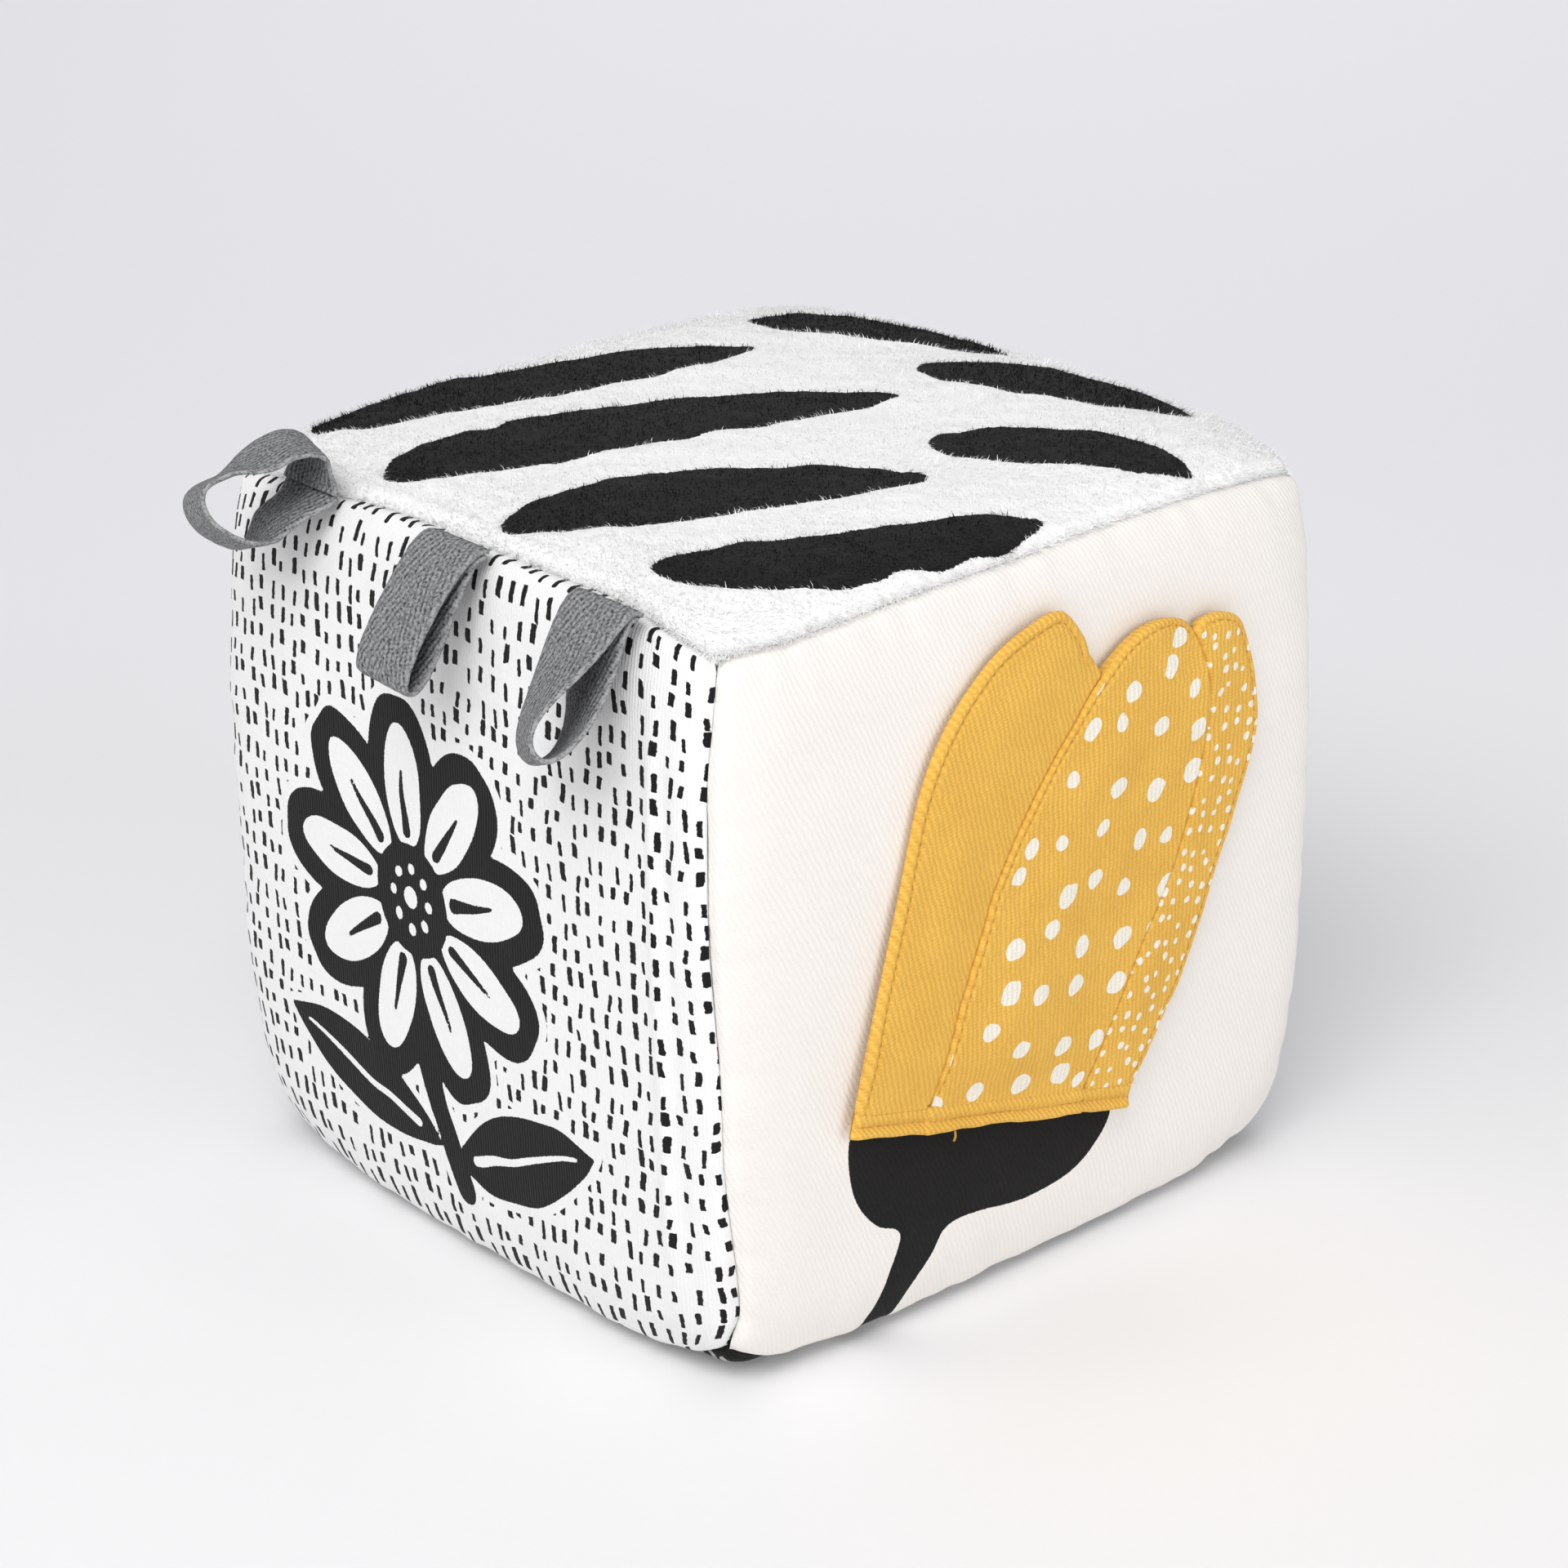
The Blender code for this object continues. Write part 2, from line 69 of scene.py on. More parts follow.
azimuth, elevation, roll = CAMERA_TURN
forward = Vector(
    (
        -math.sin(azimuth) * math.cos(elevation),
        math.cos(azimuth) * math.cos(elevation),
        math.sin(elevation),
    )
)
level = Vector((math.cos(azimuth), math.sin(azimuth), 0))
upright = level.cross(forward)
rightward = level * math.cos(roll) + upright * math.sin(roll)
upward = upright * math.cos(roll) - level * math.sin(roll)
camera = bpy.data.objects.new("camera", bpy.data.cameras.new("camera"))
bpy.context.scene.collection.objects.link(camera)
camera.data.lens = LENS
camera.data.sensor_width = 36
camera.matrix_world = (
    Matrix.Translation(CAMERA_PLACE) @ Matrix((rightward, upward, -forward)).transposed().to_4x4()
)
bpy.context.scene.camera = camera
bpy.context.scene.view_settings.view_transform = "Standard"


def wire(tree, socket, value):
    """Feed a socket from another one, or set it to a plain value."""
    if isinstance(value, bpy.types.NodeSocket):
        tree.links.new(value, socket)
    else:
        socket.default_value = value


def add_node(tree, kind, inputs=None, **settings):
    """A node with its settings, and its inputs by name or number."""
    made = tree.nodes.new("ShaderNode" + kind)
    for name, value in settings.items():
        setattr(made, name, value)
    for name, value in (inputs or {}).items():
        wire(tree, made.inputs[name], value)
    return made


def finish_of(name, roughness, **constants):
    """A new material: its node tree and its shader, with the constants set on it."""
    made = bpy.data.materials.new(name)
    made.use_nodes = True
    shader = made.node_tree.nodes["Principled BSDF"]
    shader.inputs["Roughness"].default_value = roughness
    for socket, value in constants.items():
        shader.inputs[socket.replace("_", " ")].default_value = value
    return made, made.node_tree, shader


def srgb(red, green, blue):
    """A colour as measured on a screen, 0 to 255, as the light it stands for."""
    light = []
    for value in (red, green, blue):
        share = value / 255
        light.append(share / 12.92 if share <= 0.04045 else ((share + 0.055) / 1.055) ** 2.4)
    return (*light, 1)


# The floor is painted a little darker far off: a painted shade for the light that falls off away from the
# lamps.
FLOOR_COLOUR, FLOOR_FAR_SHADED = srgb(231, 231, 232), srgb(227, 226, 230)
SHADE_NEAR, SHADE_FAR = -0.10, 0.45  # where the floor turns from one to the other
# Far off, the floor shines a little more, as if it curved up into a lit wall.
FLOOR_GLOW, HORIZON_GLOW = 0.10, 0.45
GLOW_NEAR, GLOW_FAR = 1.2, 3.2
FLOOR_REACH = 6.0
WALL_LIGHT, WALL_SEEN = 0.33, 0.42  # of the wall all round, and more as the camera sees it

floor_mesh = bpy.data.meshes.new("floor")
floor_corners = [(-1, -1, 0), (1, -1, 0), (1, 1, 0), (-1, 1, 0)]
floor_mesh.from_pydata([FLOOR_REACH * Vector(c) for c in floor_corners], [], [(0, 1, 2, 3)])
floor = bpy.data.objects.new("floor", floor_mesh)
bpy.context.scene.collection.objects.link(floor)
paper, tree, shader = finish_of("studio_paper", 0.9)
place = add_node(tree, "TexCoord").outputs["Object"]
away = add_node(tree, "VectorMath", {0: place, 1: (forward.x, forward.y, 0)}, operation="DOT_PRODUCT")
far = add_node(
    tree,
    "MapRange",
    {"Value": away.outputs["Value"], "From Min": SHADE_NEAR, "From Max": SHADE_FAR},
    interpolation_type="SMOOTHSTEP",
)
# Painted shade: the floor's colour darkens farther back along the view.
floor_shade = add_node(
    tree,
    "Mix",
    {0: far.outputs["Result"], 6: FLOOR_COLOUR, 7: FLOOR_FAR_SHADED},
    data_type="RGBA",
)
wire(tree, shader.inputs["Base Color"], floor_shade.outputs[2])
spread = add_node(tree, "VectorMath", {0: place}, operation="LENGTH")
glow_ramp = {"From Min": GLOW_NEAR, "From Max": GLOW_FAR, "To Min": FLOOR_GLOW, "To Max": HORIZON_GLOW}
glow = add_node(
    tree,
    "MapRange",
    {"Value": spread.outputs["Value"], **glow_ramp},
    interpolation_type="SMOOTHSTEP",
)
shader.inputs["Emission Color"].default_value = (0.97, 0.975, 1, 1)
wire(tree, shader.inputs["Emission Strength"], glow.outputs["Result"])
floor.data.materials.append(paper)

world = bpy.data.worlds.new("studio")
bpy.context.scene.world = world
world.use_nodes = True
sky = world.node_tree.nodes["Background"]
sky.inputs["Color"].default_value = (0.96, 0.97, 1.0, 1)
seen = add_node(world.node_tree, "LightPath").outputs["Is Camera Ray"]
wall = add_node(world.node_tree, "Math", {0: seen, 1: WALL_SEEN, 2: WALL_LIGHT}, operation="MULTIPLY_ADD")
wire(world.node_tree, sky.inputs["Strength"], wall.outputs[0])


def soft_light(name, place, target, size, watts, colour, spread=math.pi):
    """A panel of light that faces a target."""
    lamp = bpy.data.lights.new(name, "AREA")
    lamp.shape = "RECTANGLE"
    lamp.size, lamp.size_y = size
    lamp.energy = watts
    lamp.color = colour
    lamp.spread = spread
    made = bpy.data.objects.new(name, lamp)
    bpy.context.scene.collection.objects.link(made)
    made.location = place
    made.rotation_euler = (Vector(target) - Vector(place)).to_track_quat("-Z", "Y").to_euler()


soft_light("key", (0.8, -1.2, 1.7), (0, 0, 0.06), (1.2, 1.2), 27.5, (1.0, 0.99, 0.975))
soft_light("window", (-0.30, -1.45, 1.15), (0, 0, 0.06), (1.3, 1.1), 7.6, (1.0, 1.0, 1.0))
soft_light("bounce", (1.6, 0.2, 0.6), (0, 0, 0.06), (1.0, 1.0), 7.8, (1.0, 0.985, 0.965))
soft_light("backdrop", (-1.0, 1.1, 1.3), (-1.0, 1.1, 0), (1.6, 1.6), 4.5, (0.985, 0.985, 1.0), 1.75)

# Cover
# Six panels are sewn into one bag that is turned right side out over the foam. Each
# face is crowned, its cloth rolls down into the seams, and the corners are drawn in.
# Beside a seam the cloth sinks, puckers between the stitches and wanders a little.
CROWN = 0.0028  # rise of a face from its corners to its middle
ROLL = 0.0028  # rise of the cloth right beside a seam
CORNER = 0.0022  # how far a corner is drawn in
TURN_POWER = 12  # the higher it is, the nearer the seams a face turns down
RISE = CROWN + ROLL
REST_DEPTH = 0.0005  # depth to which the table presses the bottom flat

top_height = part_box("top_panel")[1].z
HALF = np.array(
    [
        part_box("right_panel")[1].x - RISE,
        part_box("back_panel")[1].y - RISE,
        (top_height + REST_DEPTH) / 2 - RISE,
    ]
)
CENTRE = np.array([0, 0, top_height - RISE - HALF[2]])

# Each side's own axes, across, up and out, in the frame of the block.
QUARTER = math.pi / 2
SIDES = {
    "top": Matrix.Identity(3),
    "front": Matrix.Rotation(QUARTER, 3, "X"),
    "right": Matrix.Rotation(QUARTER, 3, "Y") @ Matrix.Rotation(QUARTER, 3, "Z"),
    "back": Matrix.Rotation(-QUARTER, 3, "X") @ Matrix.Rotation(math.pi, 3, "Z"),
    "left": Matrix.Rotation(-QUARTER, 3, "Y") @ Matrix.Rotation(-QUARTER, 3, "Z"),
    "bottom": Matrix.Rotation(math.pi, 3, "X"),
}
SIDES = {side: np.round(np.array(turn)) for side, turn in SIDES.items()}


def bow(t):
    """How far a seam bows out between its corners."""
    return CROWN * (1 - t**2) / 2 - CORNER * np.abs(t) ** TURN_POWER


def rise(u, v):
    """How far a face stands out past the plane of its seams."""
    turn_u, turn_v = np.abs(u) ** TURN_POWER, np.abs(v) ** TURN_POWER
    crown = CROWN * (1 - (u**2 + v**2) / 2)
    return crown + ROLL * (1 - turn_u) * (1 - turn_v) - CORNER * turn_u * turn_v


CELLS = 56  # of the bag's own grid, across a side
lattice = np.arange(-CELLS, CELLS + 1, 2)


def bag():
    """The bag as one closed surface: its points, and their numbers in each side's grid."""
    keys, places = [], []
    for turn in SIDES.values():
        across, up = np.meshgrid(lattice, lattice, indexing="ij")
        whole = np.stack([across, up, np.full_like(up, CELLS)], -1)
        u, v = across / CELLS, up / CELLS
        half = np.abs(turn.T @ HALF)
        flat = (u * (half[0] + bow(v)), v * (half[1] + bow(u)), half[2] + rise(u, v))
        keys.append((whole @ turn.T).round().astype(int).reshape(-1, 3))
        places.append((np.stack(flat, -1) @ turn.T).reshape(-1, 3))
    keys, places = np.concatenate(keys), np.concatenate(places)
    found, first, numbers = np.unique(keys, axis=0, return_index=True, return_inverse=True)
    numbers = numbers.reshape(len(SIDES), len(lattice), len(lattice))
    return found, places[first] + CENTRE, dict(zip(SIDES, numbers, strict=True))


def grid_faces(number):
    """Faces of a grid of points, from the numbers of its points."""
    corners = [number[:-1, :-1], number[1:, :-1], number[1:, 1:], number[:-1, 1:]]
    return np.stack(corners, -1).reshape(-1, 4)


bag_keys, bag_points, bag_numbers = bag()
bag_faces = np.concatenate([grid_faces(number) for number in bag_numbers.values()])
bag_edges = np.unique(np.sort(np.concatenate([bag_faces[:, [0, 1]], bag_faces[:, [1, 2]]])), axis=0)
# How many cells each point lies from the nearest seam.
from_seam = (CELLS - np.sort(np.abs(bag_keys), axis=1)[:, 1]) / 2


def relax(points, amount, rounds):
    """Even out the bag's surface where the amount, from 0 to 1, asks for it."""
    count = np.bincount(bag_edges.ravel(), minlength=len(points))[:, None]
    for _ in range(rounds):
        total = np.zeros_like(points)
        np.add.at(total, bag_edges[:, 0], points[bag_edges[:, 1]])
        np.add.at(total, bag_edges[:, 1], points[bag_edges[:, 0]])
        points = points + amount * (total / count - points)
    return points


SEAM_SHRINK = 0.06  # share by which the stitching gathers the cloth beside a seam
BAG_PRESSURE = 1.0
BAG_HOLD = 0.5  # how firmly the foam holds each point of the bag
SETTLE_FRAMES = 20
SETTLE_LIMIT = 0.0013  # the furthest that a point of the bag may move
SETTLE_EVENING = (0.7, 5)  # the amount and the rounds by which that move is evened out


def settle(points):
    """Gather the bag at its seams over the foam, as a cloth simulation."""
    mesh = bpy.data.meshes.new("bag")
    mesh.from_pydata(points, [], bag_faces.tolist())
    made = bpy.data.objects.new("bag", mesh)
    bpy.context.scene.collection.objects.link(made)
    seam = made.vertex_groups.new(name="seam")
    for cells, weight in ((0, 1.0), (1, 0.5)):
        seam.add(np.nonzero(from_seam == cells)[0].tolist(), weight, "REPLACE")
    made.vertex_groups.new(name="foam").add(list(range(len(points))), BAG_HOLD, "REPLACE")
    modifier = made.modifiers.new("cloth", "CLOTH")
    cloth = modifier.settings
    cloth.quality = 6
    cloth.mass = 0.2
    cloth.tension_stiffness = cloth.compression_stiffness = 15
    cloth.shear_stiffness = 5
    cloth.bending_stiffness = 0.02
    cloth.air_damping = 2
    cloth.use_pressure = True
    cloth.uniform_pressure_force = BAG_PRESSURE
    cloth.vertex_group_mass = "foam"
    cloth.pin_stiffness = 0.3
    cloth.vertex_group_shrink = "seam"
    cloth.shrink_max = SEAM_SHRINK
    cloth.effector_weights.gravity = 0
    modifier.collision_settings.use_collision = False
    scene = bpy.context.scene
    scene.frame_start, scene.frame_end = 1, SETTLE_FRAMES
    modifier.point_cache.frame_start, modifier.point_cache.frame_end = 1, SETTLE_FRAMES
    for number in range(1, SETTLE_FRAMES + 1):
        scene.frame_set(number)
    settled = made.evaluated_get(bpy.context.evaluated_depsgraph_get()).data
    moved = np.zeros(points.size)
    settled.vertices.foreach_get("co", moved)
    # The bag's grid is too coarse for fine folds, so only the broad ones are kept.
    move = relax(moved.reshape(-1, 3) - points, *SETTLE_EVENING)
    size = np.linalg.norm(move, axis=1, keepdims=True)
    bpy.data.objects.remove(made)
    scene.frame_set(1)
    return points + move * np.minimum(1, SETTLE_LIMIT / np.maximum(size, 1e-9))


SEAM_ROUND = 2.0  # cells beside a seam that are rounded over
bag_points = settle(bag_points)
bag_points = relax(bag_points, 0.5 * np.clip(1 - from_seam / SEAM_ROUND, 0, 1)[:, None], 2)
SLUMP = 0.008  # height up to which the block's own weight presses its lower edges down
low = np.clip(bag_points[:, 2], 0, SLUMP) / SLUMP
bag_points[:, 2] += SLUMP * (low**1.5 - low)

PAD = 3  # cells that a side's grid borrows from its neighbours


def side_grid(side):
    """A side's points with a border of its neighbours', so that it can run past a seam."""
    by_key = {tuple(key): number for number, key in enumerate(bag_keys)}
    size = len(lattice) + 2 * PAD
    grid = np.zeros((size, size, 3))
    for i in range(size):
        for j in range(size):
            step = np.array([i - PAD, j - PAD]) * 2 - CELLS
            over = np.maximum(np.abs(step) - CELLS, 0)
            if over.all():
                continue
            flat = np.clip(step, -CELLS, CELLS)
            key = SIDES[side] @ np.array([flat[0], flat[1], CELLS - over.sum()])
            grid[i, j] = bag_points[by_key[tuple(key.round().astype(int))]]
    last = size - PAD - 1
    # Past a corner the surface goes on as its two neighbours do.
    for di in range(1, PAD + 1):
        for dj in range(1, PAD + 1):
            for i, j, si, sj in (
                (PAD - di, PAD - dj, 1, 1),
                (PAD - di, last + dj, 1, -1),
                (last + di, PAD - dj, -1, 1),
                (last + di, last + dj, -1, -1),
            ):
                grid[i, j] = (grid[i + si, j] + grid[i, j + sj]) / 2
    return grid


side_grids = {side: side_grid(side) for side in SIDES}


def cubic(t):
    """Weights of four neighbours on a smooth curve, at t from the second to the third."""
    return np.stack(
        [
            (-t + 2 * t**2 - t**3) / 2,
            (2 - 5 * t**2 + 3 * t**3) / 2,
            (t + 4 * t**2 - 3 * t**3) / 2,
            (t**3 - t**2) / 2,
        ]
    )


def cover_point(side, u, v):
    """Points of the cover; u and v run from -1 to 1 across a side and may pass them."""
    grid = side_grids[side]
    x = (u + 1) / 2 * CELLS + PAD
    y = (v + 1) / 2 * CELLS + PAD
    i = np.clip(np.floor(x).astype(int), 1, grid.shape[0] - 3)
    j = np.clip(np.floor(y).astype(int), 1, grid.shape[1] - 3)
    along, up = cubic(x - i), cubic(y - j)
    total = 0
    for a in range(4):
        for b in range(4):
            total = total + (along[a] * up[b])[..., None] * grid[i + a - 1, j + b - 1]
    return total


def cover_normal(side, u, v, step=0.012):
    """Outward directions of the cover at the same points."""
    across = cover_point(side, u + step, v) - cover_point(side, u - step, v)
    up = cover_point(side, u, v + step) - cover_point(side, u, v - step)
    normal = np.cross(across, up)
    return normal / np.linalg.norm(normal, axis=-1, keepdims=True)


def ease(t):
    """A smooth step from 0 to 1."""
    t = np.clip(t, 0, 1)
    return t * t * (3 - 2 * t)


def ripple(along, spacing, seed):
    """A smooth random height from -1 to 1 along a line, with a bump per spacing."""
    knots = np.random.default_rng(seed).uniform(-1, 1, 600)
    x = np.asarray(along) / spacing + 250.37
    i = np.floor(x).astype(int)
    return knots[i] + (knots[i + 1] - knots[i]) * ease(x - i)


def drift(x, y, spacing, seed):
    """A smooth random height from -1 to 1 over a plane, with a bump per spacing."""
    knots = np.random.default_rng(seed).uniform(-1, 1, (400, 400))
    x, y = np.asarray(x) / spacing + 180.61, np.asarray(y) / spacing + 180.23
    i, j = np.floor(x).astype(int), np.floor(y).astype(int)
    s, t = ease(x - i), ease(y - j)
    low = knots[i, j] + (knots[i + 1, j] - knots[i, j]) * s
    high = knots[i, j + 1] + (knots[i + 1, j + 1] - knots[i, j + 1]) * s
    return low + (high - low) * t


SEAM_SINK = 0.0011  # how deep the stitches pull the cloth in
SEAM_REACH = 0.0012  # and how wide that valley is on each side
ALLOWANCE = 0.0030  # depth of cloth that turns in at the seam
TURN_ROWS = 3
WANDER_REACH = 0.35  # share of a side over which a wandering seam is evened out
TABLE_GAP = 0.0002


def knotted(*knots):
    """A smooth value along a seam, from (place, value) knots between -1 and 1."""
    places, values = (np.array(row) for row in zip(*knots, strict=True))

    def at(t):
        k = np.clip(np.searchsorted(places, t) - 1, 0, len(places) - 2)
        share = ease((t - places[k]) / (places[k + 1] - places[k]))
        return values[k] + (values[k + 1] - values[k]) * share

    return at


def opposite(slide):
    """The same wandering seam as its other panel has it."""
    return lambda t: -slide(t)


def no_slide(t):
    """A seam that stays on its edge."""
    return np.zeros_like(t)


# Where a seam has slid over its edge, in metres outwards on the panel named first.
front_right_slide = knotted(
    (-1, 0), (-0.85, 0.0024), (-0.3, 0), (0.3, -0.002), (0.6, -0.002), (1, 0)
)
front_top_slide = knotted((-1, 0), (-0.6, 0.001), (-0.2, 0.0026), (0.6, 0.0026), (1, 0))
top_right_slide = knotted((-1, 0), (-0.8, 0.0017), (-0.2, 0.0013), (0.4, 0), (1, 0))
low_slide = knotted((-1, 0), (-0.82, 0.0030), (0.82, 0.0030), (1, 0))


class Panel:
    """A panel's own fine grid, and what its finish and its neighbours need of it."""

    def __init__(self, side, cells, slides, relief):
        """Slides are the wanderings of the left, right, lower and upper seams."""
        self.half = np.abs(SIDES[side].T @ HALF)
        line = np.linspace(-1, 1, cells + 1)
        line = 0.6 * line + 0.4 * np.sin(QUARTER * line)
        a, b = np.meshgrid(line, line, indexing="ij")
        left, right, lower, upper = slides
        u, v = a.copy(), b.copy()
        u += right(b) * ease(1 - (1 - a) / WANDER_REACH) / self.half[0]
        u -= left(b) * ease(1 - (1 + a) / WANDER_REACH) / self.half[0]
        v += upper(a) * ease(1 - (1 - b) / WANDER_REACH) / self.half[1]
        v -= lower(a) * ease(1 - (1 + b) / WANDER_REACH) / self.half[1]
        self.x, self.y = a * self.half[0], b * self.half[1]
        self.gap_x, self.gap_y = self.half[0] - np.abs(self.x), self.half[1] - np.abs(self.y)
        self.normals = cover_normal(side, u, v)
        valley = np.exp(-((self.gap_x / SEAM_REACH) ** 2)) + np.exp(-((self.gap_y / SEAM_REACH) ** 2))
        height = relief(self) - SEAM_SINK * np.minimum(valley, 1)
        self.points = cover_point(side, u, v) + height[..., None] * self.normals
        self.points[..., 2] = np.maximum(self.points[..., 2], TABLE_GAP)


def puckered(seed, puckers=0.0003, spacing=0.0045, reach=0.005, waves=0.0004):
    """A cloth's own relief: puckers that run out from its seams, and soft broad folds."""

    def relief(panel):
        x, y = panel.x, panel.y
        total = waves * (drift(x, y, 0.030, seed) + 0.4 * drift(x, y, 0.013, seed + 1))
        for along, gap, ends, shift in ((y, panel.gap_x, x, 2), (x, panel.gap_y, y, 4)):
            shape = ease(gap / 0.0014) * np.exp(-gap / reach)
            wave = np.where(
                ends < 0,
                ripple(along + 0.25 * gap, spacing, seed + shift),
                ripple(along - 0.25 * gap, spacing, seed + shift + 1),
            )
            total = total + puckers * shape * wave
        return total

    return relief


def remember(mesh, name, values):
    """Keep a number or a vector per point for the material to read."""
    values = np.asarray(values, np.float32)
    kind, field = ("FLOAT_VECTOR", "vector") if values.ndim == 2 else ("FLOAT", "value")
    mesh.attributes.new(name, kind, "POINT").data.foreach_set(field, values.ravel())


BAKE_MAP = "OFBake"  # the name of a piece's own flat layout


def lay_out(mesh, places):
    """Give a mesh its flat layout, from two numbers per point, fitted to the unit square."""
    low, high = places.min(0), places.max(0)
    spread = 0.01 + 0.98 * (places - low) / (high - low)
    corners = np.zeros(len(mesh.loops), np.int32)
    mesh.loops.foreach_get("vertex_index", corners)
    layer = mesh.uv_layers.new(name=BAKE_MAP)
    layer.uv.foreach_set("vector", spread[corners].astype(np.float32).ravel())


def panel_mesh(name, panel):
    """A panel's grid as a mesh, with its allowance turned in all round."""
    rows, columns = panel.x.shape
    number = np.arange(rows * columns).reshape(rows, columns)
    faces = [grid_faces(number)]
    rim = np.concatenate([number[:, 0], number[-1, 1:], number[-2::-1, -1], number[0, -2:0:-1]])
    points, flat = panel.points.reshape(-1, 3), np.stack([panel.x, panel.y], -1).reshape(-1, 2)
    base, out, seam = points[rim], panel.normals.reshape(-1, 3)[rim], flat[rim]
    inward = panel.points.mean((0, 1)) - base
    inward -= (inward * out).sum(-1, keepdims=True) * out
    inward /= np.linalg.norm(inward, axis=-1, keepdims=True)
    edge = np.abs(seam) > panel.half[:2] - 1e-7
    every, flats, last = [points], [flat], rim
    for row in range(1, TURN_ROWS + 1):
        depth = ALLOWANCE * row / TURN_ROWS
        turned = base - depth * out + 0.25 * depth * inward
        turned[:, 2] = np.maximum(turned[:, 2], TABLE_GAP)
        every.append(turned)
        flats.append(seam + depth * np.sign(seam) * edge)
        ring = rows * columns + (row - 1) * len(rim) + np.arange(len(rim))
        faces.append(np.stack([last, ring, np.roll(ring, -1), np.roll(last, -1)], -1))
        last = ring
    mesh = bpy.data.meshes.new(name)
    mesh.from_pydata(np.concatenate(every), [], np.concatenate(faces).tolist())
    mesh.shade_smooth()
    flats = np.concatenate(flats)
    remember(mesh, "flat", np.column_stack([flats, np.zeros(len(flats))]))
    lay_out(mesh, flats)
    panel.rim = rim
    return mesh


def place_piece(name, mesh, finish, slot, body, *stands_for, at=None):
    """Put a finished piece in the scene, on the body that it moves with."""
    made = bpy.data.objects.new(name, mesh)
    bpy.context.scene.collection.objects.link(made)
    if at:
        made.location = at
    mesh.materials.append(finish)
    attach(made, body)
    if stands_for:
        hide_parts(*stands_for)
    return made


def sew_panel(side, panel, finish, slot):
    """Make a panel's piece, with its print, in place of the model's panel."""
    name = side + "_cloth"
    mesh = panel_mesh(name, panel)
    if hasattr(panel, "print"):
        every = panel.print.reshape(-1, 3)
        remember(mesh, "print", np.concatenate([every] + [every[panel.rim]] * TURN_ROWS))
    made = place_piece(name, mesh, finish, slot, "block", side + "_panel")


# Front panel
# White printed cotton with fine wales. Rows of short black strokes run up it, and a
# large flower is printed over them in solid black, with a bare white border.
def new_group(name, inputs, outputs):
    """A node group with float sockets, or vector ones where the name is Flat."""
    group = bpy.data.node_groups.new(name, "ShaderNodeTree")
    for label in inputs:
        kind = "NodeSocketVector" if label == "Flat" else "NodeSocketFloat"
        group.interface.new_socket(label, in_out="INPUT", socket_type=kind)
    for label in outputs:
        group.interface.new_socket(label, in_out="OUTPUT", socket_type="NodeSocketFloat")
    return group, group.nodes.new("NodeGroupInput").outputs, group.nodes.new("NodeGroupOutput").inputs


def maths(tree, operation, *values):
    """One step of arithmetic on numbers or sockets."""
    made = add_node(tree, "Math", dict(enumerate(values)), operation=operation)
    return made.outputs[0]


def step_up(tree, value, low, high):
    """0 below the first value, 1 above the second, smooth between."""
    made = add_node(
        tree,
        "MapRange",
        {"Value": value, "From Min": low, "From Max": high},
        interpolation_type="SMOOTHSTEP",
    )
    return made.outputs["Result"]


def noise(tree, vector, size, detail=2.0, roughness=0.5):
    """Even noise from 0 to 1 whose lumps are of the given size in metres."""
    made = add_node(
        tree,
        "TexNoise",
        {"Vector": vector, "Scale": 1 / size, "Detail": detail, "Roughness": roughness},
    )
    return made.outputs["Fac"]


def blend_colours(tree, share, first, second):
    """From the first colour at 0 to the second at 1."""
    made = add_node(tree, "Mix", {0: share, 6: first, 7: second}, data_type="RGBA")
    return made.outputs[2]


def use_group(tree, group, **inputs):
    """Place a node group in a material, its inputs by name."""
    made = tree.nodes.new("ShaderNodeGroup")
    made.node_tree = group
    for label, value in inputs.items():
        wire(tree, made.inputs[label.replace("_", " ")], value)
    return made.outputs


def flat_place(tree):
    """The place on the flat cloth, in metres, as kept in the mesh."""
    return add_node(tree, "Attribute", attribute_name="flat").outputs["Vector"]


def printed(tree):
    """Ink depth and distance from the picture, as kept in the mesh."""
    vector = add_node(tree, "Attribute", attribute_name="print").outputs["Vector"]
    return add_node(tree, "SeparateXYZ", {0: vector}).outputs


def ink_mask(tree, flat, lumps=0.0006, detail=2.0, uneven=0.0003, blur=0.00007):
    """1 where the print kept in the mesh has ink, with an edge that the cloth makes uneven."""
    fuzz = maths(tree, "MULTIPLY_ADD", noise(tree, flat, lumps, detail), uneven, -uneven / 2)
    return step_up(tree, maths(tree, "ADD", printed(tree)["X"], fuzz), -blur, blur)


def bump(tree, shader, height, distance, strength=1.0):
    """Raise the surface by a height from 0 to 1 times a distance in metres."""
    made = add_node(tree, "Bump", {"Height": height, "Distance": distance, "Strength": strength})
    wire(tree, shader.inputs["Normal"], made.outputs["Normal"])


# Woven wales: Pitch is from wale to wale and Slant their angle from the cloth's height.
tree, ins, outs = new_group("twill_weave", ("Flat", "Pitch", "Slant"), ("Height", "Shade"))
turned = add_node(
    tree,
    "VectorRotate",
    {"Vector": ins["Flat"], "Angle": ins["Slant"]},
    rotation_type="Z_AXIS",
)
axis = add_node(tree, "SeparateXYZ", {0: turned.outputs[0]}).outputs
wobble = noise(tree, ins["Flat"], 0.0035)
across = maths(tree, "DIVIDE", axis["X"], ins["Pitch"])
across = maths(tree, "MULTIPLY_ADD", wobble, 1.1, across)
wale = maths(tree, "SINE", maths(tree, "MULTIPLY", across, math.tau))
along = maths(tree, "DIVIDE", axis["Y"], ins["Pitch"])
along = maths(tree, "MULTIPLY_ADD", wobble, 0.6, along)
pick = maths(tree, "SINE", maths(tree, "MULTIPLY", along, math.tau * 1.7))
fibre = noise(tree, ins["Flat"], 0.00022, 3.0, 0.6)
